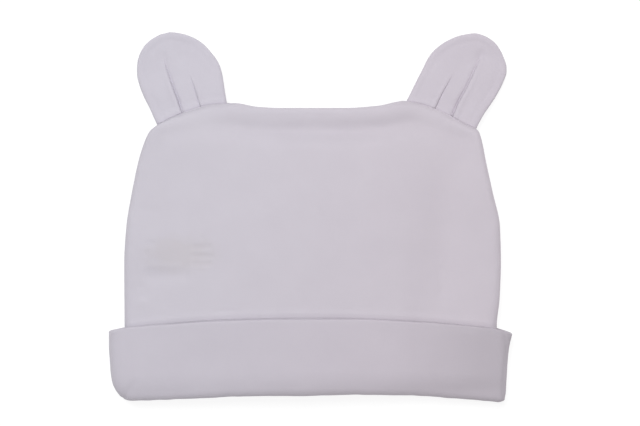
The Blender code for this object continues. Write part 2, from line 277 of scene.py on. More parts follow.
def cuff_edge_height(across):
    return CUFF_HEIGHT + CUFF_BOW * (1 - np.abs(across) ** 3)


def panel_bottom_height(across):
    return fold_height(across) + FOLD_TUCK + SEAM_GAP


print("top seam, middle, mm:", round(1000 * float(top_seam_height(np.array(0.0))), 1))

# %% [markdown]
# ## Where the hat stands
#
# The tables count from the middle of the crown and from the lower corners of the brim. The packed
# model has its origin under the middle of its box. The brim reaches furthest left and furthest down,
# so its box gives the step from one to the other.

# %% Place of the tables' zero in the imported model
CUFF_REACH_LEFT = HALF_CUFF * CUFF_OUTLINE[:, LEFT].max()
cuff_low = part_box("cuff")[0]
HAT_PLACE = np.array([cuff_low.x + CUFF_REACH_LEFT, cuff_low.y, 0.0])
print("tables' zero, mm:", [round(1000 * float(step), 2) for step in HAT_PLACE])

# %% [markdown]
# ## How the cloth lies
#
# The back panel is pressed flat by the table. The front one swells over the air inside, highest in
# the middle, and has soft hollows where it has sunk in. Each hollow is a smooth dip with a place, a
# reach and a depth, and a negative depth is a swell. The first five are in the solids too, the second
# of them shallower, and the rest are only here. Under the brim the front also leans down towards its
# right end. Random low waves on top, from fixed seeds, keep the cloth from looking moulded. Sculpting
# could press such hollows too, but a short table of them can be read, compared and changed.

# %% Hollows and swells of the front panel
Dent = namedtuple("Dent", "across up half_width half_height depth")
DENTS = (
    Dent(0.08, 1.000, 0.46, 0.045, 0.14),
    Dent(0.69, 0.600, 0.14, 0.340, 0.36),
    Dent(-0.84, 0.455, 0.11, 0.070, 0.12),
    Dent(0.86, 0.930, 0.12, 0.110, 0.14),
    Dent(-0.42, 0.820, 0.20, 0.160, 0.10),
    Dent(0.84, 0.735, 0.10, 0.110, -0.07),
    Dent(0.26, 0.735, 0.07, 0.050, -0.03),
    Dent(-0.02, 0.360, 0.16, 0.060, 0.03),
    Dent(0.56, 0.330, 0.06, 0.160, 0.05),
    Dent(-0.20, 0.620, 0.40, 0.300, -0.03),
    Dent(-0.76, 0.300, 0.20, 0.140, 0.12),
    Dent(-0.78, 1.070, 0.22, 0.060, 0.32),
    Dent(0.80, 1.060, 0.22, 0.060, 0.32),
)


def front_rise(across, height, offset):
    """Height of the crown's front over its seam, away from the round edges, at an offset outwards."""
    swell = SWELL * read(CROWN_OUTLINE, SWOLLEN, height / top_seam_height(across))
    sunk = 0.0
    for dent in DENTS:
        sideways = (across - dent.across) / dent.half_width
        upwards = (height / SHOULDER_HEIGHT - dent.up) / dent.half_height
        sunk = sunk + dent.depth * SWELL * np.exp(-(sideways ** 2 + upwards ** 2))
    return EDGE_RADIUS + offset + swell * (1 - across ** 2) - sunk


crown_top = SEAM_HEIGHT + SEAM_RISE + front_rise(np.array(0.0), np.array(SHOULDER_HEIGHT / 2), 0.0)
print("middle of the front over the table, mm:", round(1000 * float(crown_top), 1))

# %% Lean of the front, and lie of the back
LEAN_START = 0.020
LEAN_RUN = 0.070
LEAN_DEPTH = 0.0030


def front_lean(x, height):
    """How far the front leans down to the table under the brim, towards its right end."""
    down_leg = np.clip(1 - height / CUFF_HEIGHT, 0.0, 1.0)
    return LEAN_DEPTH * eased((x - LEAN_START) / LEAN_RUN) * down_leg


def back_drop(across, height, offset):
    """The same for the back, which lies flat on the table, and on the brim inside the brim."""
    past_cuff = (height - cuff_edge_height(across)) / CUFF_RAMP
    floor = CUFF_STACK * (1 - eased(past_cuff))
    return SEAM_HEIGHT - SEAM_RISE - floor + offset


# %% Random waves
Wave = namedtuple("Wave", "height size seed")
WAVE_CELLS = 64


def waves(x, y, wave, seed_step=0):
    """Smooth random relief up to the wave's height, with hills about as wide as its size."""
    draw = np.random.default_rng(wave.seed + seed_step)
    heights = draw.uniform(-1.0, 1.0, (WAVE_CELLS, WAVE_CELLS))
    column, row = x / wave.size + WAVE_CELLS / 2, y / wave.size + WAVE_CELLS / 2
    left, low = np.floor(column).astype(int), np.floor(row).astype(int)
    to_right, to_top = eased(column - left), eased(row - low)

    def corner(across, up):
        return heights[(low + up) % WAVE_CELLS, (left + across) % WAVE_CELLS]

    below = mix(corner(0, 0), corner(1, 0), to_right)
    above = mix(corner(0, 1), corner(1, 1), to_right)
    return wave.height * mix(below, above, to_top)


# %% [markdown]
# ## Cloth from grids
#
# Every piece is a closed skin: an outer face, an inner face a wall's thickness behind it, and strips
# that close the edges. Each is a grid of points, and points that meet are merged afterwards. A UV map
# keeps each point's place on the flat cloth in metres, measured along the surface, so the knit in the
# material keeps its size where the cloth turns over an edge. A Solidify modifier could give the wall,
# but the inner face here lies flat at the seams and leaves out the finest relief.

# %% Normals of a grid, and lengths on the cloth
def grid_normals(points, closed=False):
    """Normals of a grid of points, row by row. Closed grids repeat their first column at the end."""
    if closed:
        wide = np.concatenate((points[:, -2:-1], points, points[:, 1:2]), axis=1)
        along_row = wide[:, 2:] - wide[:, :-2]
    else:
        along_row = np.gradient(points, axis=1)
    normals = np.cross(along_row, np.gradient(points, axis=0))
    return normals / np.linalg.norm(normals, axis=2, keepdims=True)


def lengths_on_cloth(points):
    """UV in metres: along each row from its middle, and up each column from its foot."""
    row_steps = np.linalg.norm(np.diff(points, axis=1), axis=2)
    across = np.concatenate((np.zeros((len(points), 1)), np.cumsum(row_steps, axis=1)), axis=1)
    across = across - across[:, across.shape[1] // 2][:, None]
    column_steps = np.linalg.norm(np.diff(points, axis=0), axis=2)
    up = np.concatenate((np.zeros((1, points.shape[1])), np.cumsum(column_steps, axis=0)), axis=0)
    return np.stack((across, up), axis=2)


# %% One piece of cloth
def cloth_piece(name, grids):
    """One closed mesh from several grids of (points, lengths on the cloth), in place on the hat."""
    points, flat, faces = [], [], []
    for grid, lengths in grids:
        rows, columns = grid.shape[:2]
        first = sum(len(part) for part in points)
        ids = first + np.arange(rows * columns).reshape(rows, columns)
        quads = np.stack((ids[:-1, :-1], ids[:-1, 1:], ids[1:, 1:], ids[1:, :-1]), axis=2)
        points.append(grid.reshape(-1, 3))
        flat.append(lengths.reshape(-1, 2))
        faces.append(quads.reshape(-1, 4))
    points = np.concatenate(points) + HAT_PLACE
    flat = np.concatenate(flat)
    faces = np.concatenate(faces)
    data = bpy.data.meshes.new(name)
    data.from_pydata(points.tolist(), [], faces.tolist())
    layer = data.uv_layers.new(name="cloth")
    layer.uv.foreach_set("vector", flat[faces.ravel()].astype(np.float32).ravel())
    close_cloth(data)
    piece = bpy.data.objects.new(name, data)
    bpy.context.scene.collection.objects.link(piece)
    return piece


# %% Closing a cloth
MEETING_POINTS = 2e-6
SLIVER = MEETING_POINTS / 4


def close_cloth(data):
    """Merges the points where grids meet and turns every face outwards."""
    mesh = bmesh.new()
    mesh.from_mesh(data)
    bmesh.ops.remove_doubles(mesh, verts=mesh.verts, dist=MEETING_POINTS)
    bmesh.ops.dissolve_degenerate(mesh, edges=mesh.edges, dist=SLIVER)
    bmesh.ops.recalc_face_normals(mesh, faces=mesh.faces)
    open_edges = sum(edge.is_boundary or not edge.is_manifold for edge in mesh.edges)
    mesh.to_mesh(data)
    mesh.free()
    data.shade_smooth()
    print(f"{data.name}: {len(data.polygons)} faces, {open_edges} open edges")


# %% [markdown]
# ## Crown panels
#
# Each panel is cut like a low arch. It is sewn to the other one along its sides and its top, and
# to the brim's hidden leg along its foot. Lying flat, its edges roll over to the seam in a quarter
# round. The rows of the grid run from the foot over the ramp past the brim to the rolled top. At the
# seam the face turns in a little, which leaves the fine groove that a sewn seam has. A simulation
# could inflate two flat panels, but this hat lies pressed and nearly smooth, and rows that are placed
# by rule keep its outline to a fraction of a millimetre.

# %% Rows and columns of a panel
EDGE_COLUMNS = 12
PANEL_COLUMNS = 168
ROWS_INSIDE_BRIM = 22
ROWS_ON_RAMP = 34
ROWS_ON_BODY = 72
ROWS_ON_TOP = 12
CROWDING = 1.7
EDGE_CROWDING = 2.4


def spread_across(middle_columns):
    """Places across the hat, close together at its round edges."""
    round_share = EDGE_RADIUS / HALF_CROWN
    left_edge = -1 + round_share * (np.arange(EDGE_COLUMNS) / EDGE_COLUMNS) ** EDGE_CROWDING
    middle = np.linspace(-1 + round_share, 1 - round_share, middle_columns + 1)
    return np.concatenate((left_edge, middle, -left_edge[::-1]))


def shares(steps):
    return (np.arange(steps) / steps)[:, None]


def panel_row_heights(across):
    """Heights of a panel's rows, crowded on both sides of the brim's free edge."""
    bottom = panel_bottom_height(across)
    cuff_edge = cuff_edge_height(across)
    ramp_end = cuff_edge + CUFF_RAMP
    top = top_seam_height(across)
    below_top = EDGE_RADIUS * np.linspace(1.0, 0.0, ROWS_ON_TOP + 1)[:, None] ** EDGE_CROWDING
    return np.concatenate((
        mix(bottom, cuff_edge, 1 - (1 - shares(ROWS_INSIDE_BRIM)) ** CROWDING),
        mix(cuff_edge, ramp_end, shares(ROWS_ON_RAMP) ** CROWDING),
        mix(ramp_end, top - EDGE_RADIUS, shares(ROWS_ON_BODY)),
        top - below_top,
    ))


print("a panel's rows and columns:", panel_row_heights(spread_across(PANEL_COLUMNS)).shape)

# %% Smooth form of a panel
SEAM_ENDS = np.array([-1.0, 1.0])
EAR_FOOT_START, EAR_FOOT_RUN = 0.42, 0.16
FOOT_BANK = 0.00145
BANK_EDGE = 0.001


def panel_form(facing):
    """Points of a panel's outer face, and how far in from its seams each one is."""
    columns = spread_across(PANEL_COLUMNS)
    heights = panel_row_heights(columns)
    at_seams = panel_row_heights(SEAM_ENDS)
    seam_heights = np.where(columns < 0, at_seams[:, :1], at_seams[:, 1:])
    across = columns + 0 * heights
    half_width = crown_half_width(across, seam_heights)
    if facing > 0:
        rise = front_rise(across, heights, 0.0) - front_lean(half_width * across, heights)
    else:
        rise = back_drop(across, heights, 0.0)
    from_side = half_width * (1 - np.abs(across))
    from_top = top_seam_height(across) - heights
    under_ears = eased((np.abs(across) - EAR_FOOT_START) / EAR_FOOT_RUN)
    top_power = mix(TOP_EDGE_POWER, TOP_EDGE_POWER_AT_EARS, under_ears)
    at_sides = rolled(from_side, EDGE_RADIUS)
    level = at_sides * rolled(from_top, EDGE_RADIUS, top_power) * rise
    bank = FOOT_BANK * under_ears * at_sides * rolled(from_top + BANK_EDGE, BANK_EDGE)
    level = SEAM_RISE + np.maximum(level, bank)
    points = np.stack((half_width * across, heights, SEAM_HEIGHT + facing * level), axis=2)
    return points, np.minimum(from_side, from_top)


# %% [markdown]
# ## Fine relief of the panels
#
# Inside the hat each seam has an allowance, a doubled strip about 5 mm wide. It lifts the cloth over
# it a little, and where it ends a faint trough runs round the crown, clearest under the top seam. The
# free edge of the brim presses a narrow channel into the front. A few creases are left from folding,
# and small gathers start at the ears' pleats. A bump in the material could draw all of these, but as
# moves of the points they are in the mesh too, and catch the light from any side.

# %% Creases, as they lie on the front
ALLOWANCE = 0.0052
Crease = namedtuple("Crease", "x0 y0 x1 y1 width height")
CREASES = (
    Crease(-0.0567, 0.0716, -0.0450, 0.0716, 0.0011, -0.00042),
    Crease(-0.0570, 0.0676, -0.0445, 0.0674, 0.0011, -0.00050),
    Crease(-0.0572, 0.0642, -0.0448, 0.0640, 0.0010, -0.00042),
    Crease(-0.0530, 0.0762, -0.0490, 0.0760, 0.0012, -0.00026),
    Crease(-0.0786, 0.0736, -0.0715, 0.0734, 0.0012, -0.00030),
    Crease(-0.0788, 0.0690, -0.0750, 0.0690, 0.0011, -0.00036),
    Crease(-0.0780, 0.0630, -0.0600, 0.0628, 0.0012, 0.00018),
    Crease(-0.0790, 0.0582, -0.0560, 0.0586, 0.0030, -0.00046),
    Crease(-0.0792, 0.0560, -0.0785, 0.0470, 0.0026, -0.00030),
    Crease(-0.0816, 0.0890, -0.0690, 0.0886, 0.0016, -0.00018),
    Crease(-0.0020, 0.0975, 0.0010, 0.0880, 0.0016, -0.00014),
    Crease(0.0010, 0.0870, 0.0056, 0.0850, 0.0015, -0.00012),
    Crease(-0.0070, 0.1300, -0.0068, 0.1240, 0.0012, -0.00030),
    Crease(0.0190, 0.1270, 0.0290, 0.1262, 0.0012, 0.00016),
    Crease(0.0290, 0.1090, 0.0250, 0.1000, 0.0018, 0.00010),
    Crease(0.0585, 0.0640, 0.0600, 0.0480, 0.0022, -0.00020),
    Crease(0.0600, 0.0545, 0.0610, 0.0440, 0.0018, -0.00014),
    Crease(-0.0470, 0.0420, -0.0340, 0.0424, 0.0012, -0.00010),
    Crease(-0.0080, 0.0540, -0.0020, 0.0430, 0.0020, -0.00010),
    Crease(-0.0830, 0.0440, -0.0760, 0.0470, 0.0016, 0.00014),
    Crease(-0.0630, 0.1370, -0.0600, 0.1290, 0.0010, -0.00026),
    Crease(-0.0545, 0.1375, -0.0535, 0.1310, 0.0009, -0.00018),
    Crease(0.0645, 0.1360, 0.0660, 0.1285, 0.0010, -0.00024),
    Crease(0.0560, 0.1380, 0.0565, 0.1315, 0.0009, -0.00018),
    Crease(0.0720, 0.1270, 0.0760, 0.1180, 0.0024, -0.00022),
)
print("creases:", len(CREASES))

# %% Height of the creases
CREASE_FADE = 0.0025


def crease_relief(x, y):
    """Height of all creases at a place, each fading out at its ends."""
    relief = 0.0
    for crease in CREASES:
        start = np.array([crease.x0, crease.y0])
        run = np.array([crease.x1, crease.y1]) - start
        length = np.linalg.norm(run)
        run = run / length
        along = (x - start[0]) * run[0] + (y - start[1]) * run[1]
        aside = (x - start[0]) * run[1] - (y - start[1]) * run[0]
        ends = eased(along / CREASE_FADE) * eased((length - along) / CREASE_FADE)
        relief = relief + crease.height * ends * bump_at(aside, crease.width)
    return relief


# %% How far the brim strays
# Places across the hat, and how far the brim's fold and its free edge stray up from their arcs
BRIM_STRAY = np.array([
    (-0.094, 0.0004, -0.0002),
    (-0.086, 0.0002, 0.0000),
    (-0.078, 0.0000, -0.0004),
    (-0.064, -0.0005, -0.0007),
    (-0.046, -0.0001, -0.0007),
    (-0.024, 0.0001, -0.0007),
    (-0.006, 0.0005, -0.0005),
    (0.005, 0.0007, -0.0005),
    (0.018, 0.0009, -0.0006),
    (0.034, 0.0006, -0.0008),
    (0.047, 0.0009, -0.0011),
    (0.060, 0.0004, -0.0011),
    (0.073, 0.0000, -0.0009),
    (0.083, -0.0003, -0.0003),
    (0.089, -0.0006, -0.0007),
    (0.094, -0.0008, -0.0014),
])
FOLD_STRAY, EDGE_STRAY = 1, 2


# %% Broad relief of a panel
FULL_WAVES = 0.004
PANEL_SWELLS = Wave(0.00050, 0.034, 11)
TROUGH_DEPTH = 0.00265
TROUGH_PLACE = 0.0110
TROUGH_ABOVE, TROUGH_BELOW = 0.0042, 0.0070
TOP_ZONE_START, TOP_ZONE_RUN = 0.105, 0.022
SEAM_MIDDLE, SEAM_MIDDLE_REACH = 0.012, 0.046
BELOW_TOP_ZONE = 0.15
TOWARDS_EARS = 0.55


def near_top_seam(x, y):
    """1 under the middle of the top seam, less towards the ears and little elsewhere."""
    upwards = mix(BELOW_TOP_ZONE, 1.0, eased((y - TOP_ZONE_START) / TOP_ZONE_RUN))
    return upwards * mix(TOWARDS_EARS, 1.0, bump_at(x - SEAM_MIDDLE, SEAM_MIDDLE_REACH))


def broad_relief(points, from_seam, facing):
    """What both faces of the cloth share: low waves, and the trough under the top seam in front."""
    x, y = points[..., 0], points[..., 1]
    swells = waves(x, y, PANEL_SWELLS, facing) * eased(from_seam / FULL_WAVES)
    if facing < 0:
        return swells
    past = from_seam - TROUGH_PLACE
    trough = TROUGH_DEPTH * bump_at(past, np.where(past < 0, TROUGH_ABOVE, TROUGH_BELOW))
    return swells - trough * near_top_seam(x, y) ** 2


# %% Fine relief of a panel
PANEL_RIPPLES = Wave(0.00020, 0.013, 21)
PANEL_FUZZ = Wave(0.00003, 0.0045, 31)
SEAM_PUCKERS = Wave(0.00014, 0.0040, 91)
PUCKER_RUN, PUCKER_PLACE, PUCKER_REACH = 0.0010, 0.0020, 0.0040
ALLOWANCE_LIFT = 0.00035
ALLOWANCE_RUN, ALLOWANCE_FALL = 0.0030, 0.0050
CHANNEL_DEPTH = 0.00026
CHANNEL_PLACE, CHANNEL_WIDTH = 0.0003, 0.0006
CHANNEL_LIP = 0.00020
CHANNEL_LIP_PLACE, CHANNEL_LIP_WIDTH = 0.0030, 0.0014


def panel_relief(points, from_seam, facing):
    """What only the outer face has: ripples, puckers, creases, and the print of the brim's edge."""
    x, y = points[..., 0], points[..., 1]
    inside = eased(from_seam / FULL_WAVES)
    relief = (waves(x, y, PANEL_RIPPLES, facing) + waves(x, y, PANEL_FUZZ, facing)) * inside
    over_allowance = 1 - eased((from_seam - ALLOWANCE) / ALLOWANCE_FALL)
    lift = ALLOWANCE_LIFT * eased(from_seam / ALLOWANCE_RUN) * over_allowance
    relief = relief + lift * near_top_seam(x, y)
    puckered = eased(from_seam / PUCKER_RUN) * bump_at(from_seam - PUCKER_PLACE, PUCKER_REACH)
    relief = relief + waves(x, y, SEAM_PUCKERS, facing) * puckered
    if facing < 0:
        return relief
    past_edge = y - cuff_edge_height(x / HALF_CROWN) - read(BRIM_STRAY, EDGE_STRAY, x)
    channel = CHANNEL_DEPTH * bump_at(past_edge - CHANNEL_PLACE, CHANNEL_WIDTH)
    lip = CHANNEL_LIP * bump_at(past_edge - CHANNEL_LIP_PLACE, CHANNEL_LIP_WIDTH)
    return relief + crease_relief(x, y) + (lip - channel) * inside


# %% Build a panel
def border(grid):
    """The points round a grid's border, in order."""
    return np.concatenate((grid[0, :-1], grid[:-1, -1], grid[-1, :0:-1], grid[:0:-1, 0], grid[:1, 0]))


RIM_RINGS = ((0.0, 0.0), (0.10, 0.55), (0.28, 1.0), (0.85, 1.0), (1.0, 0.0))
ON_SEAM = 1e-6


def rim_strip(outer, inner, flat, to_seam):
    """Closes the border between the outer and the inner face, turned in a little at the seam.

    Each ring is a share of the way through the wall, and a share of the way in to the seam."""
    rings = [mix(outer, inner, through) + to_seam * turned for through, turned in RIM_RINGS]
    lengths = [flat + (0.0, step * PANEL_WALL) for step in range(len(RIM_RINGS))]
    return np.stack(rings), np.stack(lengths)


def make_panel(name, facing):
    points, from_seam = panel_form(facing)
    outwards = grid_normals(points) * facing
    lengths = lengths_on_cloth(points)
    lying = points + outwards * broad_relief(points, from_seam, facing)[..., None]
    outer = lying + outwards * panel_relief(points, from_seam, facing)[..., None]
    outer[..., 2] = np.maximum(outer[..., 2], 0.0)
    inner = lying - outwards * PANEL_WALL
    nearest = SEAM_HEIGHT + facing * SEAM_RISE
    past_seam = facing * (inner[..., 2] - nearest) < 0
    inner[..., 2] = np.where(past_seam, nearest, inner[..., 2])
    edge = border(outer)
    seam_level = SEAM_HEIGHT + facing * SEAM_GAP / 2
    to_seam = np.zeros((len(edge), 3))
    to_seam[:, 2] = np.where(border(from_seam) < ON_SEAM, seam_level - edge[:, 2], 0.0)
    strip, strip_lengths = rim_strip(edge, border(inner), border(lengths), to_seam)
    return cloth_piece(name, [(outer, lengths), (inner, lengths), (strip, strip_lengths)])


front = make_panel("front_cloth", 1)
back = make_panel("back_cloth", -1)

# %% [markdown]
# ## Turned-up brim
#
# The brim is a doubled band, sewn to the foot of the crown and turned up over it. In section it is a
# J: a long leg outside, a tight fold at the bottom and a short leg inside. The section is one loop of
# stations round the cloth, with a rounded free edge, and it is carried once round the hat. Its sides
# roll over like the crown's, a little further out. In front the fold sags towards the table, more to
# the right, and a soft limit stops it before it meets the back of the brim. A curve with this section
# as its bevel would pinch where the ring turns sharply at the sides, so the loop is placed by itself.

# %% Sag of the brim's front
SAG_REACH = 0.0115
SAG_MOST = 1.15
SAG_LEFT, SAG_RIGHT = 0.0022, 0.0043
SAG_START, SAG_RUN = -0.040, 0.120
SOFT_LIMIT = 4.0


def front_sag(x, height, room):
    """How far the brim's front sinks, with the lean of the crown and a roll along its fold.

    It stops where it would meet the back of the brim, which leaves it so much room."""
    above_fold = height - fold_height(x / HALF_CUFF)
    near_fold = np.clip(1 - above_fold / SAG_REACH, 0.0, SAG_MOST)
    depth = mix(SAG_LEFT, SAG_RIGHT, eased((x - SAG_START) / SAG_RUN))
    sag = front_lean(x, height) + depth * near_fold ** 2
    return sag / (1 + (sag / room) ** SOFT_LIMIT) ** (1 / SOFT_LIMIT)


# %% Stations of the brim's section
LEG_ROWS = 34
FOLD_ROWS = 14
TUCK_ROWS = 12
CUFF_COLUMNS = 150
OUTSIDE = CUFF_CLEARANCE + CUFF_WALL / 2
TUCKED = -PANEL_WALL / 2
FRONT_FOLD_RADIUS = 0.0030


def cuff_form():
    """Middle of the brim's cloth from its free edge round the fold to its edge inside the hat."""
    half_ring = spread_across(CUFF_COLUMNS)
    across = np.concatenate((half_ring, half_ring[::-1], half_ring[:1]))
    facing = np.concatenate((np.ones(len(half_ring)), -np.ones(len(half_ring)), [1.0]))
    leg = shares(LEG_ROWS) + 0 * across
    turn = shares(FOLD_ROWS) + 0 * across
    tuck = np.linspace(0.0, 1.0, TUCK_ROWS + 1)[:, None] + 0 * across

    roundness = np.clip(1 - across ** 2, 0.0, 1.0) * (facing > 0)
    radius = mix(FOLD_RADIUS, FRONT_FOLD_RADIUS, roundness)

    def heights(across):
        fold = fold_height(across)
        return np.concatenate((
            mix(cuff_edge_height(across), fold + radius, leg),
            fold + radius * (1 - np.sin(np.pi * turn)),
            mix(fold + radius, fold + FOLD_TUCK, tuck),
        ))

    offset = np.concatenate((
        OUTSIDE + 0 * leg,
        OUTSIDE - radius * (1 - np.cos(np.pi * turn)),
        mix(OUTSIDE - 2 * radius, TUCKED, eased(tuck)),
    ))
    inward = np.concatenate((0 * leg, eased(2 * turn - 1), 1 + 0 * tuck))
    height = heights(across)
    end_height = heights(np.ones(len(across)))
    outer_width = cuff_half_width(across + 0 * height, end_height)
    inner_width = crown_half_width(across + 0 * height, end_height) + offset
    half_width = mix(outer_width, inner_width, inward)
    from_side = half_width * (1 - np.abs(across))
    side_round = rolled(from_side, EDGE_RADIUS + offset)
    over = front_rise(across + 0 * height, height, offset)
    room = over - offset + OUTSIDE - 2 * radius
    over = over - front_sag(half_width * across, height, room)
    under = back_drop(across + 0 * height, height, offset)
    level = SEAM_RISE + side_round * np.where(facing > 0, over, under)
    points = np.stack((half_width * across, height, SEAM_HEIGHT + facing * level), axis=2)
    return points, facing + 0 * height, from_side


# %% [markdown]
# ## The brim's own relief
#
# The band has soft waves, a side seam near each end and small puckers at the tight bottom fold. The
# lower left corner is tucked in, and the free edge is never quite straight.

# %% Relief of the brim
BRIM_SWELLS = Wave(0.00045, 0.030, 41)
BRIM_RIPPLES = Wave(0.00018, 0.011, 42)
BRIM_FUZZ = Wave(0.00003, 0.0045, 43)
FOLD_PUCKERS = Wave(0.00012, 0.0042, 44)
FOLD_PUCKER_REACH = 0.0045
SWELL_STRETCH = 0.6
SIDE_SEAM_DEPTH = 0.00045
SIDE_SEAM_WIDTH = 0.0006
SIDE_SEAM_PLACE = 0.0888
SIDE_SEAM_SWAY, SWAY_RATE = 0.0006, 190
BESIDE_SEAM_HEIGHT = 0.00018
BESIDE_SEAM_PLACE, BESIDE_SEAM_WIDTH = 0.0868, 0.0012
SIDE_LINE_START, SIDE_LINE_WIDTH = 0.07, 0.0005
CORNER_DEPTH, CORNER_WIDTH = 0.00055, 0.0012
CORNER_X, CORNER_Y, CORNER_SLANT = -0.0858, 0.0040, 0.55
CORNER_END, CORNER_FADE = 0.006, 0.006


def cuff_relief(points, facing, from_side):
    x, y, z = np.moveaxis(points, 2, 0)
    in_front = facing > 0
    relief = waves(x, y * SWELL_STRETCH, BRIM_SWELLS) + waves(x, y, BRIM_RIPPLES)
    relief = relief * eased(from_side / FULL_WAVES) + waves(x, y, BRIM_FUZZ)
    sway = SIDE_SEAM_SWAY * np.sin(y * SWAY_RATE)
    side_seam = bump_at(x - SIDE_SEAM_PLACE + sway, SIDE_SEAM_WIDTH) * in_front
    side_line = bump_at(z - SEAM_HEIGHT, SIDE_LINE_WIDTH) * (np.abs(x) > SIDE_LINE_START)
    beside_seam = bump_at(x - BESIDE_SEAM_PLACE, BESIDE_SEAM_WIDTH) * in_front
    relief = relief - SIDE_SEAM_DEPTH * (side_seam + side_line) + BESIDE_SEAM_HEIGHT * beside_seam
    aside = x - CORNER_X - CORNER_SLANT * (y - CORNER_Y)
    corner = bump_at(aside, CORNER_WIDTH) * in_front * (1 - eased((y - CORNER_END) / CORNER_FADE))
    above_fold = y - fold_height(x / HALF_CUFF)
    puckers = waves(x, 0 * y, FOLD_PUCKERS) * bump_at(above_fold, FOLD_PUCKER_REACH)
    return relief - CORNER_DEPTH * corner + puckers


# %% Stray of the free edge
EDGE_DRIFT = Wave(0.00025, 0.021, 51)
EDGE_FRAY = Wave(0.00010, 0.0062, 52)


def edge_wander(x, facing):
    """How far the free edge strays up or down from its smooth line."""
    return (waves(x, 0 * x, EDGE_DRIFT) + waves(x, 0 * x, EDGE_FRAY)) * facing


def brim_stray(points, facing):
    """How far the brim lies off its smooth arcs. It stays in place where it meets the crown's foot."""
    x = points[..., 0]
    up = np.zeros((len(points), 1))
    up[:LEG_ROWS] = 1 - shares(LEG_ROWS)
    free = np.ones((len(points), 1))
    free[-TUCK_ROWS:] = 1 - shares(TUCK_ROWS)
    free[-1] = 0.0
    smooth = mix(read(BRIM_STRAY, FOLD_STRAY, x), read(BRIM_STRAY, EDGE_STRAY, x), up)
    return smooth * free + edge_wander(x, facing) * up ** 3


# %% Build the brim
EDGE_TURN_ROWS = 5
FREE_EDGE_BULGE, TUCKED_EDGE_BULGE = 0.45, 0.1


def round_edge(outer, inner, lengths, outwards, bulge):
    """A rounded edge from the outer to the inner face at one end of the section."""
    outwards = outwards / np.linalg.norm(outwards, axis=-1, keepdims=True)
    rings = []
    for turn in np.linspace(0.0, np.pi, EDGE_TURN_ROWS + 2):
        through = (1 - np.cos(turn)) / 2
        rings.append(mix(outer, inner, through) + outwards * bulge * CUFF_WALL / 2 * np.sin(turn))
    steps = np.linspace(0.0, CUFF_WALL, EDGE_TURN_ROWS + 2)
    return np.stack(rings), np.stack([lengths + (0.0, step) for step in steps])


def make_cuff():
    points, facing, from_side = cuff_form()
    points[..., 1] += brim_stray(points, facing)
    outwards = -grid_normals(points, closed=True)
    lengths = lengths_on_cloth(points)
    relief = cuff_relief(points, facing, from_side)
    outer = points + outwards * (CUFF_WALL / 2 + relief)[..., None]
    inner = points - outwards * CUFF_WALL / 2
    outer[..., 2] = np.maximum(outer[..., 2], 0.0)
    inner[..., 2] = np.maximum(inner[..., 2], 0.0)
    up, in_tuck = points[0] - points[1], points[-1] - points[-2]
    free_edge = round_edge(outer[0], inner[0], lengths[0], up, FREE_EDGE_BULGE)
    tucked_edge = round_edge(outer[-1], inner[-1], lengths[-1], in_tuck, TUCKED_EDGE_BULGE)
    print("brim stations:", len(points))
    return cloth_piece("brim_cloth", [(outer, lengths), (inner, lengths), free_edge, tucked_edge])


brim = make_cuff()

# %% [markdown]
# ## Ears
#
# Each ear is two layers sewn round their rim and turned, then folded into an inverted box pleat at
# its foot and caught in the top seam. Seen from above the pleat is a sunken strip between two folds,
# the outer one longer. The ear is lofted from foot to tip. Its columns crowd at the folds, so they can
# be steep, and the sewn rim shows as a low ridge just inside the edge. A simulation could fold a flat
# ear, but its folds fall by chance, and these run where the pleat was pressed.

# %% An ear's measures
Pleat = namedtuple("Pleat", "base tip bend reach depth groove")
Ear = namedtuple("Ear", "name node side seam_end tilt length outline outer_pleat inner_pleat seed")
EARS = (
    Ear("left_ear_cloth", "ear_left", -1, 0.550, np.radians(14.0), EAR_LENGTH * 0.99, LEFT_EAR_OUTLINE,
        Pleat(-0.31, -0.20, -0.02, 0.72, 0.0008, 0.00110),
        Pleat(0.26, 0.24, 0.00, 0.44, 0.0006, 0.00040), 61),
    Ear("right_ear_cloth", "ear_right", 1, 0.575, np.radians(19.6), EAR_LENGTH * 1.037, RIGHT_EAR_OUTLINE,
        Pleat(-0.34, -0.17, 0.01, 0.77, 0.0005, 0.00118),
        Pleat(0.20, 0.34, 0.00, 0.46, 0.0006, 0.00035), 71),
)
for ear in EARS:
    print(ear.name, "length and longest fold, mm:",
          [round(1000 * ear.length * share, 1) for share in (1.0, ear.outer_pleat.reach)])

# %% Course of a pleat
PLEAT_FADE_POWER = 2.2


def pleat_line(pleat, along):
    """Share of the way across the ear at which a pleat's fold runs."""
    return mix(pleat.base, pleat.tip, along) + pleat.bend * np.sin(np.pi * along)


def pleat_fade(pleat, along):
    """How open the pleat is: full at the foot, closed past its reach."""
    return np.clip(1 - (along / pleat.reach) ** PLEAT_FADE_POWER, 0.0, 1.0)


# %% Rows and columns of an ear
SIDE_COLUMNS = 34
FOLD_COLUMNS = 8
STRIP_COLUMNS = 28
EAR_ROWS = 84
TIP_ROWS = 12
OUTER_FOLD, INNER_FOLD = 0.046, 0.038


def ear_columns(ear, along):
    """Shares of the way across the ear at one height, crowded at its rims and at its folds."""
    outer_line = pleat_line(ear.outer_pleat, along)
    inner_line = pleat_line(ear.inner_pleat, along)
    side = 0.5 - 0.5 * np.cos(np.pi * np.arange(SIDE_COLUMNS) / SIDE_COLUMNS)
    fold = np.arange(FOLD_COLUMNS) / FOLD_COLUMNS
    strip = np.linspace(0.0, 1.0, STRIP_COLUMNS + 1)
    return np.concatenate((
        mix(-1.0, outer_line, side),
        outer_line + OUTER_FOLD * fold,
        mix(outer_line + OUTER_FOLD, inner_line - OUTER_FOLD, strip),
        inner_line - OUTER_FOLD * fold[::-1],
        mix(inner_line, 1.0, 1 - side[::-1]),
    ))


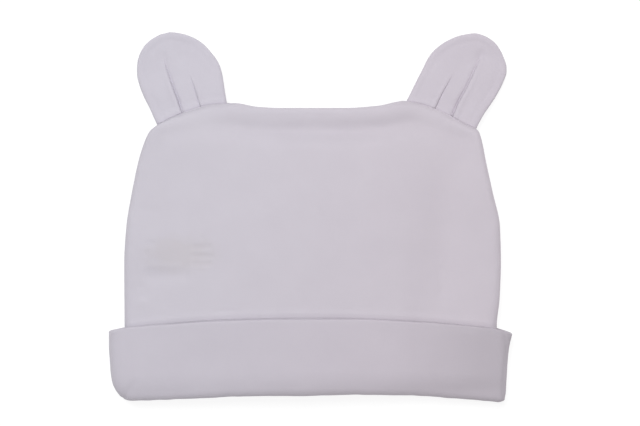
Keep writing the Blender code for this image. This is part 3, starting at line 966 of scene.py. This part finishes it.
def ear_shares(ear):
    """How far along the ear each row is, and how far across it each point."""
    tip_share = EAR_THICKNESS / 2 / ear.length
    body = np.linspace(0.0, 1.0 - tip_share, EAR_ROWS, endpoint=False)
    tip_turn = np.linspace(0.0, np.pi / 2, TIP_ROWS + 1)
    along = np.concatenate((body, 1.0 - tip_share * (1 - np.sin(tip_turn))))[:, None]
    return along, np.stack([ear_columns(ear, float(step)) for step in along[:, 0]])


print("an ear's rows and columns:", ear_shares(EARS[0])[1].shape)

# %% Relief of the pleat
PLEAT_LIP = 0.00045
OUTER_LIP_PLACE, OUTER_LIP_WIDTH = 0.055, 0.060
INNER_LIP_PLACE, INNER_LIP_WIDTH = 0.045, 0.045
OUTER_RECOVERY, INNER_RECOVERY = 0.034, 0.028
GROOVE_FADE_POWER = 0.6
DIMPLE_DEPTH = 0.00085
DIMPLE_ASIDE, DIMPLE_REACH = 0.02, 0.0028


def pleat_relief(ear, along, share):
    """Height of the pleat over the ear's smooth face, on its upper side."""
    outer_line, inner_line = pleat_line(ear.outer_pleat, along), pleat_line(ear.inner_pleat, along)
    outer_fade, inner_fade = pleat_fade(ear.outer_pleat, along), pleat_fade(ear.inner_pleat, along)
    past_outer, past_inner = share - outer_line, inner_line - share
    outer_step, inner_step = eased(past_outer / OUTER_FOLD), eased(past_inner / INNER_FOLD)
    middle = np.clip(past_outer / (inner_line - outer_line), 0.0, 1.0)
    depth = mix(ear.outer_pleat.depth * outer_fade, ear.inner_pleat.depth * inner_fade, middle)
    outer_groove = outer_step * np.exp(-np.maximum(past_outer - OUTER_FOLD, 0.0) / OUTER_RECOVERY)
    inner_groove = inner_step * np.exp(-np.maximum(past_inner - INNER_FOLD, 0.0) / INNER_RECOVERY)
    grooves = ear.outer_pleat.groove * outer_fade ** GROOVE_FADE_POWER * outer_groove
    grooves = grooves + ear.inner_pleat.groove * inner_fade ** GROOVE_FADE_POWER * inner_groove
    lips = outer_fade * bump_at(past_outer + OUTER_LIP_PLACE, OUTER_LIP_WIDTH)
    lips = lips + inner_fade * bump_at(past_inner + INNER_LIP_PLACE, INNER_LIP_WIDTH)
    end = ear.outer_pleat.reach
    aside = (share - pleat_line(ear.outer_pleat, end) - DIMPLE_ASIDE) * EAR_WIDTH / 2
    dimple = bump_at(np.hypot(aside, (along - end) * ear.length), DIMPLE_REACH)
    return PLEAT_LIP * lips - depth * outer_step * inner_step - grooves - DIMPLE_DEPTH * dimple


# %% The seam under an ear's foot
FOOT_GAP = 0.00002


def seam_under(ear, share):
    """Points of the top seam that the ear's foot follows, and the middle of the seam's two ends."""
    seam_half_width = float(crown_half_width(ear.side, top_seam_height(ear.side)))

    def crown_point(across):
        return np.stack((seam_half_width * across, top_seam_height(across)), axis=-1)

    at_seam = ear.side * mix(1.0, ear.seam_end, (share + 1) / 2)
    nearby = SEAM_GAP / seam_half_width
    run = crown_point(at_seam + nearby) - crown_point(at_seam - nearby)
    run = run / np.linalg.norm(run, axis=-1, keepdims=True)
    off_seam = np.stack((-run[..., 1], run[..., 0]), axis=-1)
    ends = crown_point(ear.side * np.array([1.0, ear.seam_end]))
    return crown_point(at_seam) + off_seam * FOOT_GAP, (ends[0] + ends[1]) / 2


# %% Plan of an ear
SEAM_CURVE_REACH = 0.70


def ear_reach(ear, along):
    """Half width of the ear, and how far its middle leans towards its inner rim."""
    outer, inner = read(ear.outline, OUTER, along), read(ear.outline, INNER, along)
    return EAR_WIDTH / 2 * (outer + inner) / 2, EAR_WIDTH / 2 * (inner - outer) / 2


def ear_plan(ear, along, share):
    """Where each point of the ear lies, seen from above. Its straight foot is bent onto the seam."""
    axis = np.array([ear.side * np.sin(ear.tilt), np.cos(ear.tilt)])
    inwards = np.array([-ear.side * axis[1], ear.side * axis[0]])
    seam, middle = seam_under(ear, share)
    half_width, lean = ear_reach(ear, along)
    foot_half_width, foot_lean = ear_reach(ear, 0 * along)
    straight = middle + (foot_lean + foot_half_width * share)[..., None] * inwards
    plan = middle + (lean + half_width * share)[..., None] * inwards
    plan = plan + (ear.length * along)[..., None] * axis
    return plan + (seam - straight) * (1 - eased(along / SEAM_CURVE_REACH))[..., None]


# %% Distance from an ear's outline
SHORTEST_SQUARE = 1e-14


def from_outline(plan):
    """Distance of every point of an ear from its outline, apart from its foot."""
    outline = np.concatenate((plan[:, 0], plan[-1], plan[::-1, -1]))
    starts, runs = outline[:-1], np.diff(outline, axis=0)
    nearest = np.full(plan.shape[:2], np.inf)
    for start, run in zip(starts, runs):
        square = max(np.sum(run ** 2), SHORTEST_SQUARE)
        along = np.clip(np.sum((plan - start) * run, axis=-1) / square, 0.0, 1.0)
        gap = np.linalg.norm(plan - start - along[..., None] * run, axis=-1)
        nearest = np.minimum(nearest, gap)
    return nearest


# %% Thickness of an ear
FOOT_THICKNESS = 0.0042
FOOT_RUN = 0.0040
RIM_HEIGHT = 0.0010
RIM_RISE = 0.0011
PILLOW_REACH = 0.0100


def ear_half_thickness(from_foot, from_rim):
    """Half the ear's thickness: a thin round rim, a soft pillow inside it, and more at the foot."""
    foot = mix(FOOT_THICKNESS / EAR_THICKNESS, 1.0, eased(from_foot / FOOT_RUN))
    pillow = (EAR_THICKNESS / 2 - RIM_HEIGHT) * rolled(from_rim, PILLOW_REACH, QUARTER_CIRCLE)
    return foot * (RIM_HEIGHT * rolled(from_rim, RIM_RISE, QUARTER_CIRCLE) + pillow)


# %% Build an ear
EAR_RUMPLE = Wave(0.00042, 0.0085, 0)
EAR_FUZZ = Wave(0.00006, 0.0032, 1)
DROOP_REACH = 0.85
FOOT_LIP, FOOT_LIP_PLACE, FOOT_LIP_WIDTH = 0.00025, 0.0016, 0.0010
RIDGE_HEIGHT, RIDGE_PLACE, RIDGE_WIDTH = 0.00012, 0.0020, 0.0009
GROOVE_DEPTH, GROOVE_PLACE, GROOVE_WIDTH = 0.00014, 0.0038, 0.0012
RELIEF_RUN, RELIEF_POWER = 0.0030, 0.8
BACK_PLEAT, BACK_RUMPLE = 0.35, 0.5
OFF_TABLE = 0.00004


def make_ear(ear):
    along, share = ear_shares(ear)
    plan = ear_plan(ear, along, share)
    x, y = plan[..., 0], plan[..., 1]
    from_foot, from_rim = along * ear.length, from_outline(plan)
    centre = mix(SEAM_HEIGHT, EAR_THICKNESS / 2 + EAR_LIFT, eased(along / DROOP_REACH))
    half_thickness = ear_half_thickness(from_foot, from_rim)

    pleat = pleat_relief(ear, along, share)
    ridge = RIDGE_HEIGHT * bump_at(from_rim - RIDGE_PLACE, RIDGE_WIDTH)
    ridge = ridge - GROOVE_DEPTH * bump_at(from_rim - GROOVE_PLACE, GROOVE_WIDTH)
    rumple = waves(x, y, EAR_RUMPLE, ear.seed) + waves(x, y, EAR_FUZZ, ear.seed)
    lip = FOOT_LIP * bump_at(from_foot - FOOT_LIP_PLACE, FOOT_LIP_WIDTH)
    inside = np.clip(from_rim / RELIEF_RUN, 0.0, 1.0) ** RELIEF_POWER
    upper_level = centre + half_thickness + (pleat + ridge + rumple + lip) * inside
    back_relief = (BACK_PLEAT * pleat + ridge + BACK_RUMPLE * rumple) * inside
    lower_level = np.maximum(centre - half_thickness - back_relief, OFF_TABLE)

    upper = np.stack((x, y, upper_level), axis=-1)
    lower = np.stack((x, y, np.minimum(lower_level, upper_level)), axis=-1)
    lower[-1], lower[:, 0], lower[:, -1] = upper[-1], upper[:, 0], upper[:, -1]
    half_width = ear_reach(ear, along)[0]
    flat = np.stack((half_width * share, from_foot + 0 * share), axis=-1)
    foot_band = np.stack((upper[0], lower[0]))
    foot_lengths = np.stack((flat[0], flat[0] - (0.0, FOOT_THICKNESS)))
    return cloth_piece(ear.name, [(upper, flat), (lower, flat), (foot_band, foot_lengths)])


ears = {ear.node: make_ear(ear) for ear in EARS}

# %% [markdown]
# ## Inside the hat
#
# Through the brim one can see the seam allowances. Each is a narrow doubled strip that stands in from
# the seam, its raw edge wrapped by overlock stitches. The strips are swept along the seams, a little
# wavy, and Geometry Nodes wrap the thread round them further on. A bevelled curve would be quicker,
# but it has one width all along, and a cut edge never does.

# %% Paths of the seams
SIDE_STEPS, TOP_STEPS = 150, 190
OFF_FOOT, OFF_SHOULDER = 0.0005, 0.0075
TOP_REACH = 0.93
CROWN_MIDDLE = np.array([0.0, 0.07])


def side_seam_path(side):
    """Points of a side seam from the foot of the crown to just under its shoulder."""
    foot = float(panel_bottom_height(side)) + OFF_FOOT
    heights = np.linspace(foot, SHOULDER_HEIGHT - OFF_SHOULDER, SIDE_STEPS)
    return np.stack((side * crown_half_width(side + 0 * heights, heights), heights), axis=1)


def top_seam_path():
    """Points of the top seam. Its width is measured where it ends, at the shoulders."""
    across = np.linspace(-TOP_REACH, TOP_REACH, TOP_STEPS)
    shoulder_heights = top_seam_height(np.where(across < 0, -1.0, 1.0))
    half_width = crown_half_width(across, shoulder_heights)
    return np.stack((half_width * across, top_seam_height(across)), axis=1)


def inward(path):
    """Unit steps from each point of a path in towards the crown's middle."""
    run = np.gradient(path, axis=0)
    run = run / np.linalg.norm(run, axis=1, keepdims=True)
    aside = np.stack((-run[:, 1], run[:, 0]), axis=1)
    facing = np.sign(np.sum(aside * (CROWN_MIDDLE - path), axis=1))
    return aside * facing[:, None]


# %% Allowance strips
STRIP_START = 0.0018
STRIP_WIDTH = 0.0042
STRIP_THICKNESS = 0.0011
STRIP_LIFT = Wave(0.0005, 0.011, 0)
STRIP_WAVER = Wave(0.07, 0.007, 1)
STRIP_END_FADE, STRIP_END_SHARE = 0.03, 0.55
STITCHED_AT = 0.55
# Shares of the strip's width and of its thickness, once round its section
STRIP_SECTION = ((0.0, -0.5), (0.5, -0.5), (0.93, -0.5), (1.0, -0.25), (1.0, 0.25), (0.93, 0.5),
                 (0.5, 0.5), (0.0, 0.5), (0.0, -0.5))


def allowance_strip(path, seed):
    """A closed flat strip along a path, standing in from it, and the line that its stitches follow."""
    step_in = inward(path)
    place = np.linspace(0.0, 1.0, len(path))
    length = np.linalg.norm(np.diff(path, axis=0), axis=1).sum()
    lift = waves(place * length, 0 * place, STRIP_LIFT, seed)
    width = 1 - STRIP_WAVER.height + waves(place * length, 0 * place, STRIP_WAVER, seed)
    width = width * STRIP_WIDTH
    ends = eased(place / STRIP_END_FADE) * eased((1 - place) / STRIP_END_FADE)
    thickness = STRIP_THICKNESS * mix(STRIP_END_SHARE, 1.0, ends)

    def point_line(reach, up):
        plan = path + step_in * (STRIP_START + width * reach)[:, None]
        level = SEAM_HEIGHT + lift * reach + thickness * up
        return np.concatenate((plan, level[:, None]), axis=1)

    def cap(end):
        """Closes one end, from the lower points of the section to the upper ones."""
        return tuple(np.stack((grid[:4, end], grid[7:3:-1, end])) for grid in body)

    steps = STRIP_WIDTH / 4 * np.arange(len(STRIP_SECTION))[:, None]
    lengths = np.stack((place * length + 0 * steps, 0 * place + steps), axis=2)
    body = (np.stack([point_line(reach, up) for reach, up in STRIP_SECTION]), lengths)
    return [body, cap(0), cap(-1)], point_line(STITCHED_AT, 0.0) + HAT_PLACE


# %% Lay a strip along each seam
seam_paths = (side_seam_path(-1), side_seam_path(1), top_seam_path())
STRIP_SEEDS = (81, 84, 87)
strip_grids, stitch_lines = [], []
for path, seed in zip(seam_paths, STRIP_SEEDS):
    grids, stitch_line = allowance_strip(path, seed)
    print("seam's length, mm:", round(1000 * np.linalg.norm(np.diff(path, axis=0), axis=1).sum(), 1))
    strip_grids += grids
    stitch_lines.append(stitch_line)
allowance = cloth_piece("seam_allowance", strip_grids)

# %% [markdown]
# ## Overlock stitches
#
# An overlock machine wraps thread round the raw edge at even steps. One loop of thread is placed at
# every step along the strip by Geometry Nodes: the path becomes a curve, is cut into even lengths, and
# each point carries a small ring that stands across it. An Array on a curve could repeat the loop
# too, but it would bend each one with the path. A helper class adds any node with its settings and
# inputs, and serves the materials later.

# %% A socket that Python can calculate with
class Wire:
    """One socket of a node tree. Python's operators on it add Math nodes."""

    def __init__(self, net, socket):
        self.net = net
        self.socket = socket

    def __add__(self, other):
        return self.net.math("ADD", self, other)

    __radd__ = __add__

    def __sub__(self, other):
        return self.net.math("SUBTRACT", self, other)

    def __rsub__(self, other):
        return self.net.math("SUBTRACT", other, self)

    def __mul__(self, other):
        return self.net.math("MULTIPLY", self, other)

    __rmul__ = __mul__

    def __truediv__(self, other):
        return self.net.math("DIVIDE", self, other)

    def __rtruediv__(self, other):
        return self.net.math("DIVIDE", other, self)

    def __pow__(self, other):
        return self.net.math("POWER", self, other)


# %% A net of nodes
WHITE = (1.0, 1.0, 1.0, 1.0)


class Net:
    """A node tree that grows one node at a time."""

    def __init__(self, tree):
        self.tree = tree

    def node(self, kind, settings=None, inputs=None, output=0):
        """Adds a node: its settings first, then values or wires for its sockets."""
        made = self.tree.nodes.new(kind)
        for name, value in (settings or {}).items():
            if name == "stops":
                self.set_stops(made.color_ramp, value)
            else:
                setattr(made, name, value)
        for name, value in (inputs or {}).items():
            if isinstance(value, Wire):
                self.tree.links.new(value.socket, made.inputs[name])
            else:
                made.inputs[name].default_value = value
        if not made.outputs:
            return None
        return Wire(self, made.outputs[output])

    def set_stops(self, ramp, stops):
        while len(ramp.elements) < len(stops):
            ramp.elements.new(1.0)
        for element, (place, colour) in zip(ramp.elements, stops):
            element.position = place
            element.color = colour

    def math(self, operation, first, second=0.0):
        return self.node("ShaderNodeMath", {"operation": operation}, {0: first, 1: second})

    def split(self, vector):
        """The three parts of a vector."""
        first = self.node("ShaderNodeSeparateXYZ", None, {"Vector": vector})
        return [Wire(self, socket) for socket in first.socket.node.outputs]

    def eased(self, value, start, end, most=1.0):
        """Runs smoothly from 0 at one value to the most at another."""
        return self.node("ShaderNodeMapRange", {"interpolation_type": "SMOOTHSTEP"},
                         {"Value": value, "From Min": start, "From Max": end, "To Max": most})

    def mixed(self, share, first, second):
        """A colour between two others."""
        return self.node("ShaderNodeMix", {"data_type": "RGBA"},
                         {0: share, 6: first, 7: second}, output=2)

    def tinted(self, colour, share, tint):
        """A colour multiplied by a tint, as far as the share says."""
        tone = self.mixed(share, WHITE, tint)
        return self.node("ShaderNodeMix", {"data_type": "RGBA", "blend_type": "MULTIPLY"},
                         {0: 1.0, 6: colour, 7: tone}, output=2)


# %% Stitch tree
STITCH_INPUTS = (
    ("Geometry", "NodeSocketGeometry"),
    ("Stitch Step", "NodeSocketFloat"),
    ("Stitch Reach", "NodeSocketFloat"),
    ("Stitch Height", "NodeSocketFloat"),
    ("Thread Radius", "NodeSocketFloat"),
    ("Thread", "NodeSocketMaterial"),
)
LOOP_POINTS, THREAD_POINTS = 14, 6
STITCH_SLANT = 0.22


def overlock_tree(name):
    tree = bpy.data.node_groups.new(name, "GeometryNodeTree")
    for title, kind in STITCH_INPUTS:
        tree.interface.new_socket(title, in_out="INPUT", socket_type=kind)
    tree.interface.new_socket("Geometry", in_out="OUTPUT", socket_type="NodeSocketGeometry")
    net = Net(tree)
    given = tree.nodes.new("NodeGroupInput")
    wire = {socket.name: Wire(net, socket) for socket in given.outputs if socket.name}
    seam = net.node("GeometryNodeMeshToCurve", None, {"Mesh": wire["Geometry"]})
    steps = net.node("GeometryNodeResampleCurve", {"mode": "LENGTH"},
                     {"Curve": seam, "Length": wire["Stitch Step"]})
    ring = net.node("GeometryNodeCurvePrimitiveCircle", None, {"Resolution": LOOP_POINTS, "Radius": 0.5})
    size = net.node("ShaderNodeCombineXYZ", None,
                    {"X": wire["Stitch Height"], "Y": wire["Stitch Reach"], "Z": 1.0})
    flat_ring = net.node("GeometryNodeTransform", None, {"Geometry": ring, "Scale": size})
    standing = net.node("GeometryNodeTransform", None,
                        {"Geometry": flat_ring, "Rotation": (0.0, np.pi / 2, STITCH_SLANT)})
    thread = net.node("GeometryNodeCurvePrimitiveCircle", None,
                      {"Resolution": THREAD_POINTS, "Radius": wire["Thread Radius"]})
    loop = net.node("GeometryNodeCurveToMesh", None, {"Curve": standing, "Profile Curve": thread})
    tangent = net.node("GeometryNodeInputTangent")
    turned = net.node("FunctionNodeAlignRotationToVector", {"axis": "X", "pivot_axis": "Z"},
                      {"Vector": tangent})
    placed = net.node("GeometryNodeInstanceOnPoints", None,
                      {"Points": steps, "Instance": loop, "Rotation": turned})
    real = net.node("GeometryNodeRealizeInstances", None, {"Geometry": placed})
    dressed = net.node("GeometryNodeSetMaterial", None,
                       {"Geometry": real, "Material": wire["Thread"]})
    result = tree.nodes.new("NodeGroupOutput")
    tree.links.new(dressed.socket, result.inputs[0])
    return tree


# %% [markdown]
# ## Knitted cotton
#
# Interlock is a fine double knit. Its face shows upright ribs, the wales, and each wale is a column of
# small Vs. The Vs are drawn as heights from the UV map, where one unit is one metre of cloth, and a
# Bump node turns heights into light and shade. Their low parts are also painted a little darker, as
# painted shade. A little noise bends the columns, so they run as loosely as real ones, and a finer one
# gives the fuzz of cotton. Cloth is matt, with a weak sheen.
# The cloth is a trace warmer towards the right. The brim's colour is painted darker near its right
# end, as painted shade where the brim leans away from the light. An image of knit would repeat and
# blur when seen close, and Vs drawn by rule stay sharp at any size.

# %% The knit's heights
WALE_PITCH = 0.00074
COURSE_PITCH = 0.00062
V_SLANT = 0.6
V_HEIGHT = 0.55
WANDER_SCALE = 90.0
WANDER_REACH = (0.0007, 0.0005, 0.0)


def knit_height(net, flat):
    """Height of the knit's Vs from 0 to 1 at a place on the flat cloth."""
    wander = net.node("ShaderNodeTexNoise", {"noise_dimensions": "2D"},
                      {"Vector": flat, "Scale": WANDER_SCALE, "Detail": 1.0}, output="Color")
    bend = net.node("ShaderNodeVectorMath", {"operation": "MULTIPLY_ADD"},
                    {0: wander, 1: WANDER_REACH, 2: flat})
    across, up, _ = net.split(bend)
    from_middle = net.math("ABSOLUTE", net.math("FRACT", across / WALE_PITCH) - 0.5) * 2.0
    leg = 1.0 - (2.0 * from_middle - 1.0) ** 2
    stitch = net.math("ABSOLUTE", net.math("SINE", (up / COURSE_PITCH + V_SLANT * from_middle) * np.pi))
    return net.math("SQRT", leg) * (1 - V_HEIGHT + V_HEIGHT * stitch)


# %% Start and end of a material
def new_material(name):
    """An empty material, and the net that grows its nodes."""
    material = bpy.data.materials.new(name)
    material.use_nodes = True
    material.node_tree.nodes.clear()
    return material, Net(material.node_tree)


def add_shader(net, values):
    """Ends a material's tree with one Principled shader."""
    shader = net.node("ShaderNodeBsdfPrincipled", None, values)
    net.node("ShaderNodeOutputMaterial", None, {"Surface": shader})


# %% Cloth material
MOTTLE = {"Scale": 55.0, "Detail": 4.0, "Roughness": 0.6}
SPECKLE = {"Scale": 900.0, "Detail": 2.0, "Roughness": 0.7}
FUZZ = {"Scale": 2600.0, "Detail": 2.0, "Roughness": 0.6}
MOTTLE_STOPS = ((0.30, (0.0, 0.0, 0.0, 1.0)), (0.72, WHITE))
MOTTLE_SHARE, SPECKLE_SHARE, KNIT_SHADE_SHARE = 0.55, 0.25, 0.20
KNIT_HEIGHT, FUZZ_HEIGHT = 0.8, 0.35
KNIT_DEPTH = 0.00010
ROUGHNESS, SPECKLE_ROUGHNESS = 0.84, 0.12
COTTON_SHEEN = {"Specular IOR Level": 0.25, "Sheen Weight": 0.10, "Sheen Roughness": 0.6}
COOL_END, WARM_END = -0.085, 0.085
WARM_TINT = (1.000, 0.962, 0.957, 1.0)
# Across the hat, where the painted shade near the brim's right end begins and where it is full
PAINTED_SHADE_START, PAINTED_SHADE_END = 0.028, 0.098


def cotton(name, tint, shade, knit_strength, stain=False, painted_shade_tint=None):
    """A knitted cotton: its colour, a deeper colour for its mottling, and painted shade in its knit."""
    material, net = new_material(name)
    flat = net.node("ShaderNodeUVMap", {"uv_map": "cloth"})
    where = net.node("ShaderNodeTexCoord", output="Object")
    mottle = net.node("ShaderNodeTexNoise", None, {"Vector": where, **MOTTLE})
    speckle = net.node("ShaderNodeTexNoise", None, {"Vector": where, **SPECKLE})
    fuzz = net.node("ShaderNodeTexNoise", None, {"Vector": where, **FUZZ})
    knit = knit_height(net, flat)
    amount = net.node("ShaderNodeValToRGB", {"stops": MOTTLE_STOPS}, {"Fac": mottle})
    # Mottle and speckle are the cloth's own uneven tone; the knit's low parts get painted shade
    depth = MOTTLE_SHARE * amount + SPECKLE_SHARE * speckle + KNIT_SHADE_SHARE * (1.0 - knit)
    colour = net.mixed(depth, (*tint, 1.0), (*shade, 1.0))
    sideways = net.split(where)[0]
    colour = net.tinted(colour, net.eased(sideways, COOL_END, WARM_END), WARM_TINT)
    # Painted shade: the colour darkens towards the brim's right end, where it leans away from the light
    if painted_shade_tint:
        colour = net.tinted(colour, net.eased(sideways, PAINTED_SHADE_START, PAINTED_SHADE_END), painted_shade_tint)
    if stain:
        colour = stained(net, where, colour)
    height = KNIT_HEIGHT * knit + FUZZ_HEIGHT * fuzz
    bump = net.node("ShaderNodeBump", None,
                    {"Height": height, "Strength": knit_strength, "Distance": KNIT_DEPTH})
    roughness = ROUGHNESS + SPECKLE_ROUGHNESS * speckle
    add_shader(net, {"Base Color": colour, "Normal": bump, "Roughness": roughness, **COTTON_SHEEN})
    return material


# %% [markdown]
# ## A faint mark
#
# Halfway up the left of the front the cloth is a trace warmer, in an uneven patch about 38 mm wide.
# It is a soft oval on Object coordinates, broken up by noise and mixed in weakly. Vertex colours
# could hold it as well, but they would tie its edge to the size of the mesh's faces.

# %% Warm patch
PATCH_PLACE = (-0.0600, 0.0685)
PATCH_REACH = (0.0190, 0.0095)
PATCH_TINT = (0.533, 0.499, 0.527, 1.0)
PATCH_EDGE, PATCH_INSIDE = 1.2, 0.4
PATCH_RAGGEDNESS = 0.7
PATCH_STRENGTH = 0.5
RAGGED = {"Scale": 210.0, "Detail": 3.0}


def stained(net, where, colour):
    """A colour with the warm patch laid over it."""
    middle = HAT_PLACE + (*PATCH_PLACE, 0.0)
    centred = net.node("ShaderNodeMapping", {"vector_type": "TEXTURE"},
                       {"Vector": where, "Location": tuple(middle), "Scale": (*PATCH_REACH, 0.1)})
    distance = net.node("ShaderNodeVectorMath", {"operation": "LENGTH"}, {0: centred}, output="Value")
    ragged = net.node("ShaderNodeTexNoise", None, {"Vector": where, **RAGGED})
    edge = distance + PATCH_RAGGEDNESS * (ragged - 0.5)
    return net.mixed(net.eased(edge, PATCH_EDGE, PATCH_INSIDE, PATCH_STRENGTH), colour, PATCH_TINT)


# %% Finishes of the hat
crown_cotton = cotton("crown_cotton", (0.576, 0.548, 0.607), (0.549, 0.520, 0.579), 0.35, stain=True)
back_cotton = cotton("back_cotton", (0.570, 0.541, 0.599), (0.546, 0.516, 0.574), 0.35)
# The brim is the crown's cotton, painted a little darker as shade, with more painted shade at its right
# end
brim_cotton_painted_shade = cotton("brim_cotton_painted_shade", (0.551, 0.520, 0.580), (0.523, 0.492, 0.552), 0.35,
                     painted_shade_tint=(0.86, 0.866, 0.862, 1.0))
ear_cotton = cotton("ear_cotton", (0.571, 0.545, 0.608), (0.545, 0.517, 0.580), 0.35)
lining_cotton = cotton("allowance_cotton", (0.560, 0.537, 0.602), (0.520, 0.496, 0.560), 0.5)


FINISHES = ((front, crown_cotton), (back, back_cotton), (brim, brim_cotton_painted_shade),
            (allowance, lining_cotton), *((ear, ear_cotton) for ear in ears.values()))
for piece, finish in FINISHES:
    piece.data.materials.append(finish)
    print(piece.name, "gets", finish.name)

# %% Thread
FIBRES = {"Scale": 3200.0, "Detail": 2.0}
FIBRE_DEPTH = 0.00006
THREAD_TINTS = ((0.60, 0.58, 0.64, 1.0), (0.70, 0.68, 0.73, 1.0))


def thread_material():
    """Spun thread: fine fibres from a noise, in its colour and in its height."""
    material, net = new_material("overlock_thread")
    where = net.node("ShaderNodeTexCoord", output="Object")
    fibres = net.node("ShaderNodeTexNoise", None, {"Vector": where, **FIBRES})
    colour = net.mixed(fibres, *THREAD_TINTS)
    bump = net.node("ShaderNodeBump", None,
                    {"Height": fibres, "Strength": 0.5, "Distance": FIBRE_DEPTH})
    add_shader(net, {"Base Color": colour, "Normal": bump, "Roughness": 0.7, "Sheen Weight": 0.15})
    return material


# %% Wrap the allowances
STITCH_STEP = 0.0024
STITCH_OVERHANG = 1.02
STITCH_ROOM = 0.0004
THREAD_RADIUS = 0.00016


def make_stitches(lines):
    points = np.concatenate(lines)
    edges, first = [], 0
    for line in lines:
        edges += [(first + step, first + step + 1) for step in range(len(line) - 1)]
        first += len(line)
    path = bpy.data.meshes.new("stitch_path")
    path.from_pydata(points.tolist(), edges, [])
    carrier = bpy.data.objects.new("stitch_carrier", path)
    bpy.context.scene.collection.objects.link(carrier)
    modifier = carrier.modifiers.new("overlock", "NODES")
    modifier.node_group = overlock_tree("overlock_stitches")
    values = {
        "Stitch Step": STITCH_STEP,
        "Stitch Reach": STRIP_WIDTH * STITCH_OVERHANG,
        "Stitch Height": STRIP_THICKNESS + STITCH_ROOM,
        "Thread Radius": THREAD_RADIUS,
        "Thread": thread_material(),
    }
    for item in modifier.node_group.interface.items_tree:
        if item.in_out == "INPUT" and item.name in values:
            modifier[item.identifier] = values[item.name]
    depsgraph = bpy.context.evaluated_depsgraph_get()
    loops = bpy.data.meshes.new_from_object(carrier.evaluated_get(depsgraph))
    loops.name = "overlock_thread"
    bpy.data.objects.remove(carrier)
    stitches = bpy.data.objects.new("overlock_thread", loops)
    bpy.context.scene.collection.objects.link(stitches)
    loops.shade_smooth()
    print("stitches' faces:", len(loops.polygons))
    return stitches


stitches = make_stitches(stitch_lines)

# %% [markdown]
# ## Floor, light and camera
#
# The hat lies on a plain pale floor under soft light. A large lamp at the upper left is a little
# cool, a weaker one at the right a little warm, and an even sky fills the rest. The floor glows a
# little, so that it goes white. The camera hangs over the hat and looks straight down, a metre up
# with a long lens, so the ears on the table and the crown above it keep almost the same scale.

# %% Floor
FLOOR_REACH = 6.0
FLOOR_DROP = 0.0001
FLOOR_GREY = (0.22, 0.22, 0.22, 1.0)
FLOOR_GLOW = 0.83


def make_floor():
    mesh = bmesh.new()
    bmesh.ops.create_grid(mesh, x_segments=1, y_segments=1, size=FLOOR_REACH)
    for point in mesh.verts:
        point.co.z = -FLOOR_DROP
    data = bpy.data.meshes.new("floor")
    mesh.to_mesh(data)
    mesh.free()
    floor = bpy.data.objects.new("floor", data)
    bpy.context.scene.collection.objects.link(floor)
    material, net = new_material("pale_floor")
    add_shader(net, {
        "Base Color": FLOOR_GREY, "Roughness": 0.95, "Specular IOR Level": 0.0,
        "Emission Color": WHITE, "Emission Strength": FLOOR_GLOW})
    data.materials.append(material)
    return floor


floor = make_floor()

# %% Lamps
Lamp = namedtuple("Lamp", "name place size power colour")
LAMPS = (
    Lamp("window", (-0.47, 0.92, 2.40), 1.3, 44.6, (0.98, 1.0, 1.0)),
    Lamp("fill", (1.10, 0.10, 1.90), 1.3, 7.6, (1.0, 0.96, 0.97)),
)


def add_lamp(lamp):
    data = bpy.data.lights.new(lamp.name, "AREA")
    data.shape = "DISK"
    data.size = lamp.size
    data.energy = lamp.power
    data.color = lamp.colour
    made = bpy.data.objects.new(lamp.name, data)
    made.location = lamp.place
    made.rotation_euler = (-Vector(lamp.place)).to_track_quat("-Z", "Y").to_euler()
    bpy.context.scene.collection.objects.link(made)


for lamp in LAMPS:
    add_lamp(lamp)
    print("lamp:", lamp.name, lamp.power, "W")

# %% Sky
SKY_STRENGTH = 0.37
sky = bpy.data.worlds.new("sky")
sky.use_nodes = True
glow = sky.node_tree.nodes["Background"]
glow.inputs["Color"].default_value = WHITE
glow.inputs["Strength"].default_value = SKY_STRENGTH
bpy.context.scene.world = sky
bpy.context.scene.view_settings.view_transform = "Standard"
bpy.context.scene.view_settings.look = "None"

# %% Camera
PICTURE_WIDTH = 640
PICTURE_HEIGHT = 426
METRES_PER_PIXEL = 0.0004665
SENSOR_WIDTH = 36.0
LENS = 120.0
PICTURE_ZERO = (312.2, 400.5)


def add_camera():
    """A camera straight above the middle of the picture, far enough to take in its width."""
    data = bpy.data.cameras.new("camera")
    data.sensor_width = SENSOR_WIDTH
    data.lens = LENS
    distance = METRES_PER_PIXEL * PICTURE_WIDTH * LENS / SENSOR_WIDTH
    middle_x = (PICTURE_WIDTH / 2 - PICTURE_ZERO[0]) * METRES_PER_PIXEL
    middle_y = (PICTURE_ZERO[1] - PICTURE_HEIGHT / 2) * METRES_PER_PIXEL
    camera = bpy.data.objects.new("camera", data)
    camera.location = (HAT_PLACE[0] + middle_x, HAT_PLACE[1] + middle_y, SEAM_HEIGHT + distance)
    bpy.context.scene.collection.objects.link(camera)
    bpy.context.scene.camera = camera
    print("camera, mm:", [round(1000 * float(step), 1) for step in camera.location])


add_camera()

# %% [markdown]
# ## Pieces on the hat
#
# Each cloth hangs under the hat's root body, as do the allowances and their thread, and the plain
# solid of each cloth's node is hidden, so that the cloth stands in its place.

# %% Hang each piece under the root, and hide its solid
DRESSED = (
    (front, "front_panel", "crown_cloth"),
    (back, "back_panel", "crown_cloth"),
    (brim, "cuff", "cuff_cloth"),
    (ears["ear_left"], "ear_left", "ear_cloth"),
    (ears["ear_right"], "ear_right", "ear_cloth"),
)
for piece, node, slot in DRESSED:
    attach(piece, "root")
    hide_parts(node)
for piece in (allowance, stitches):
    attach(piece, "root")
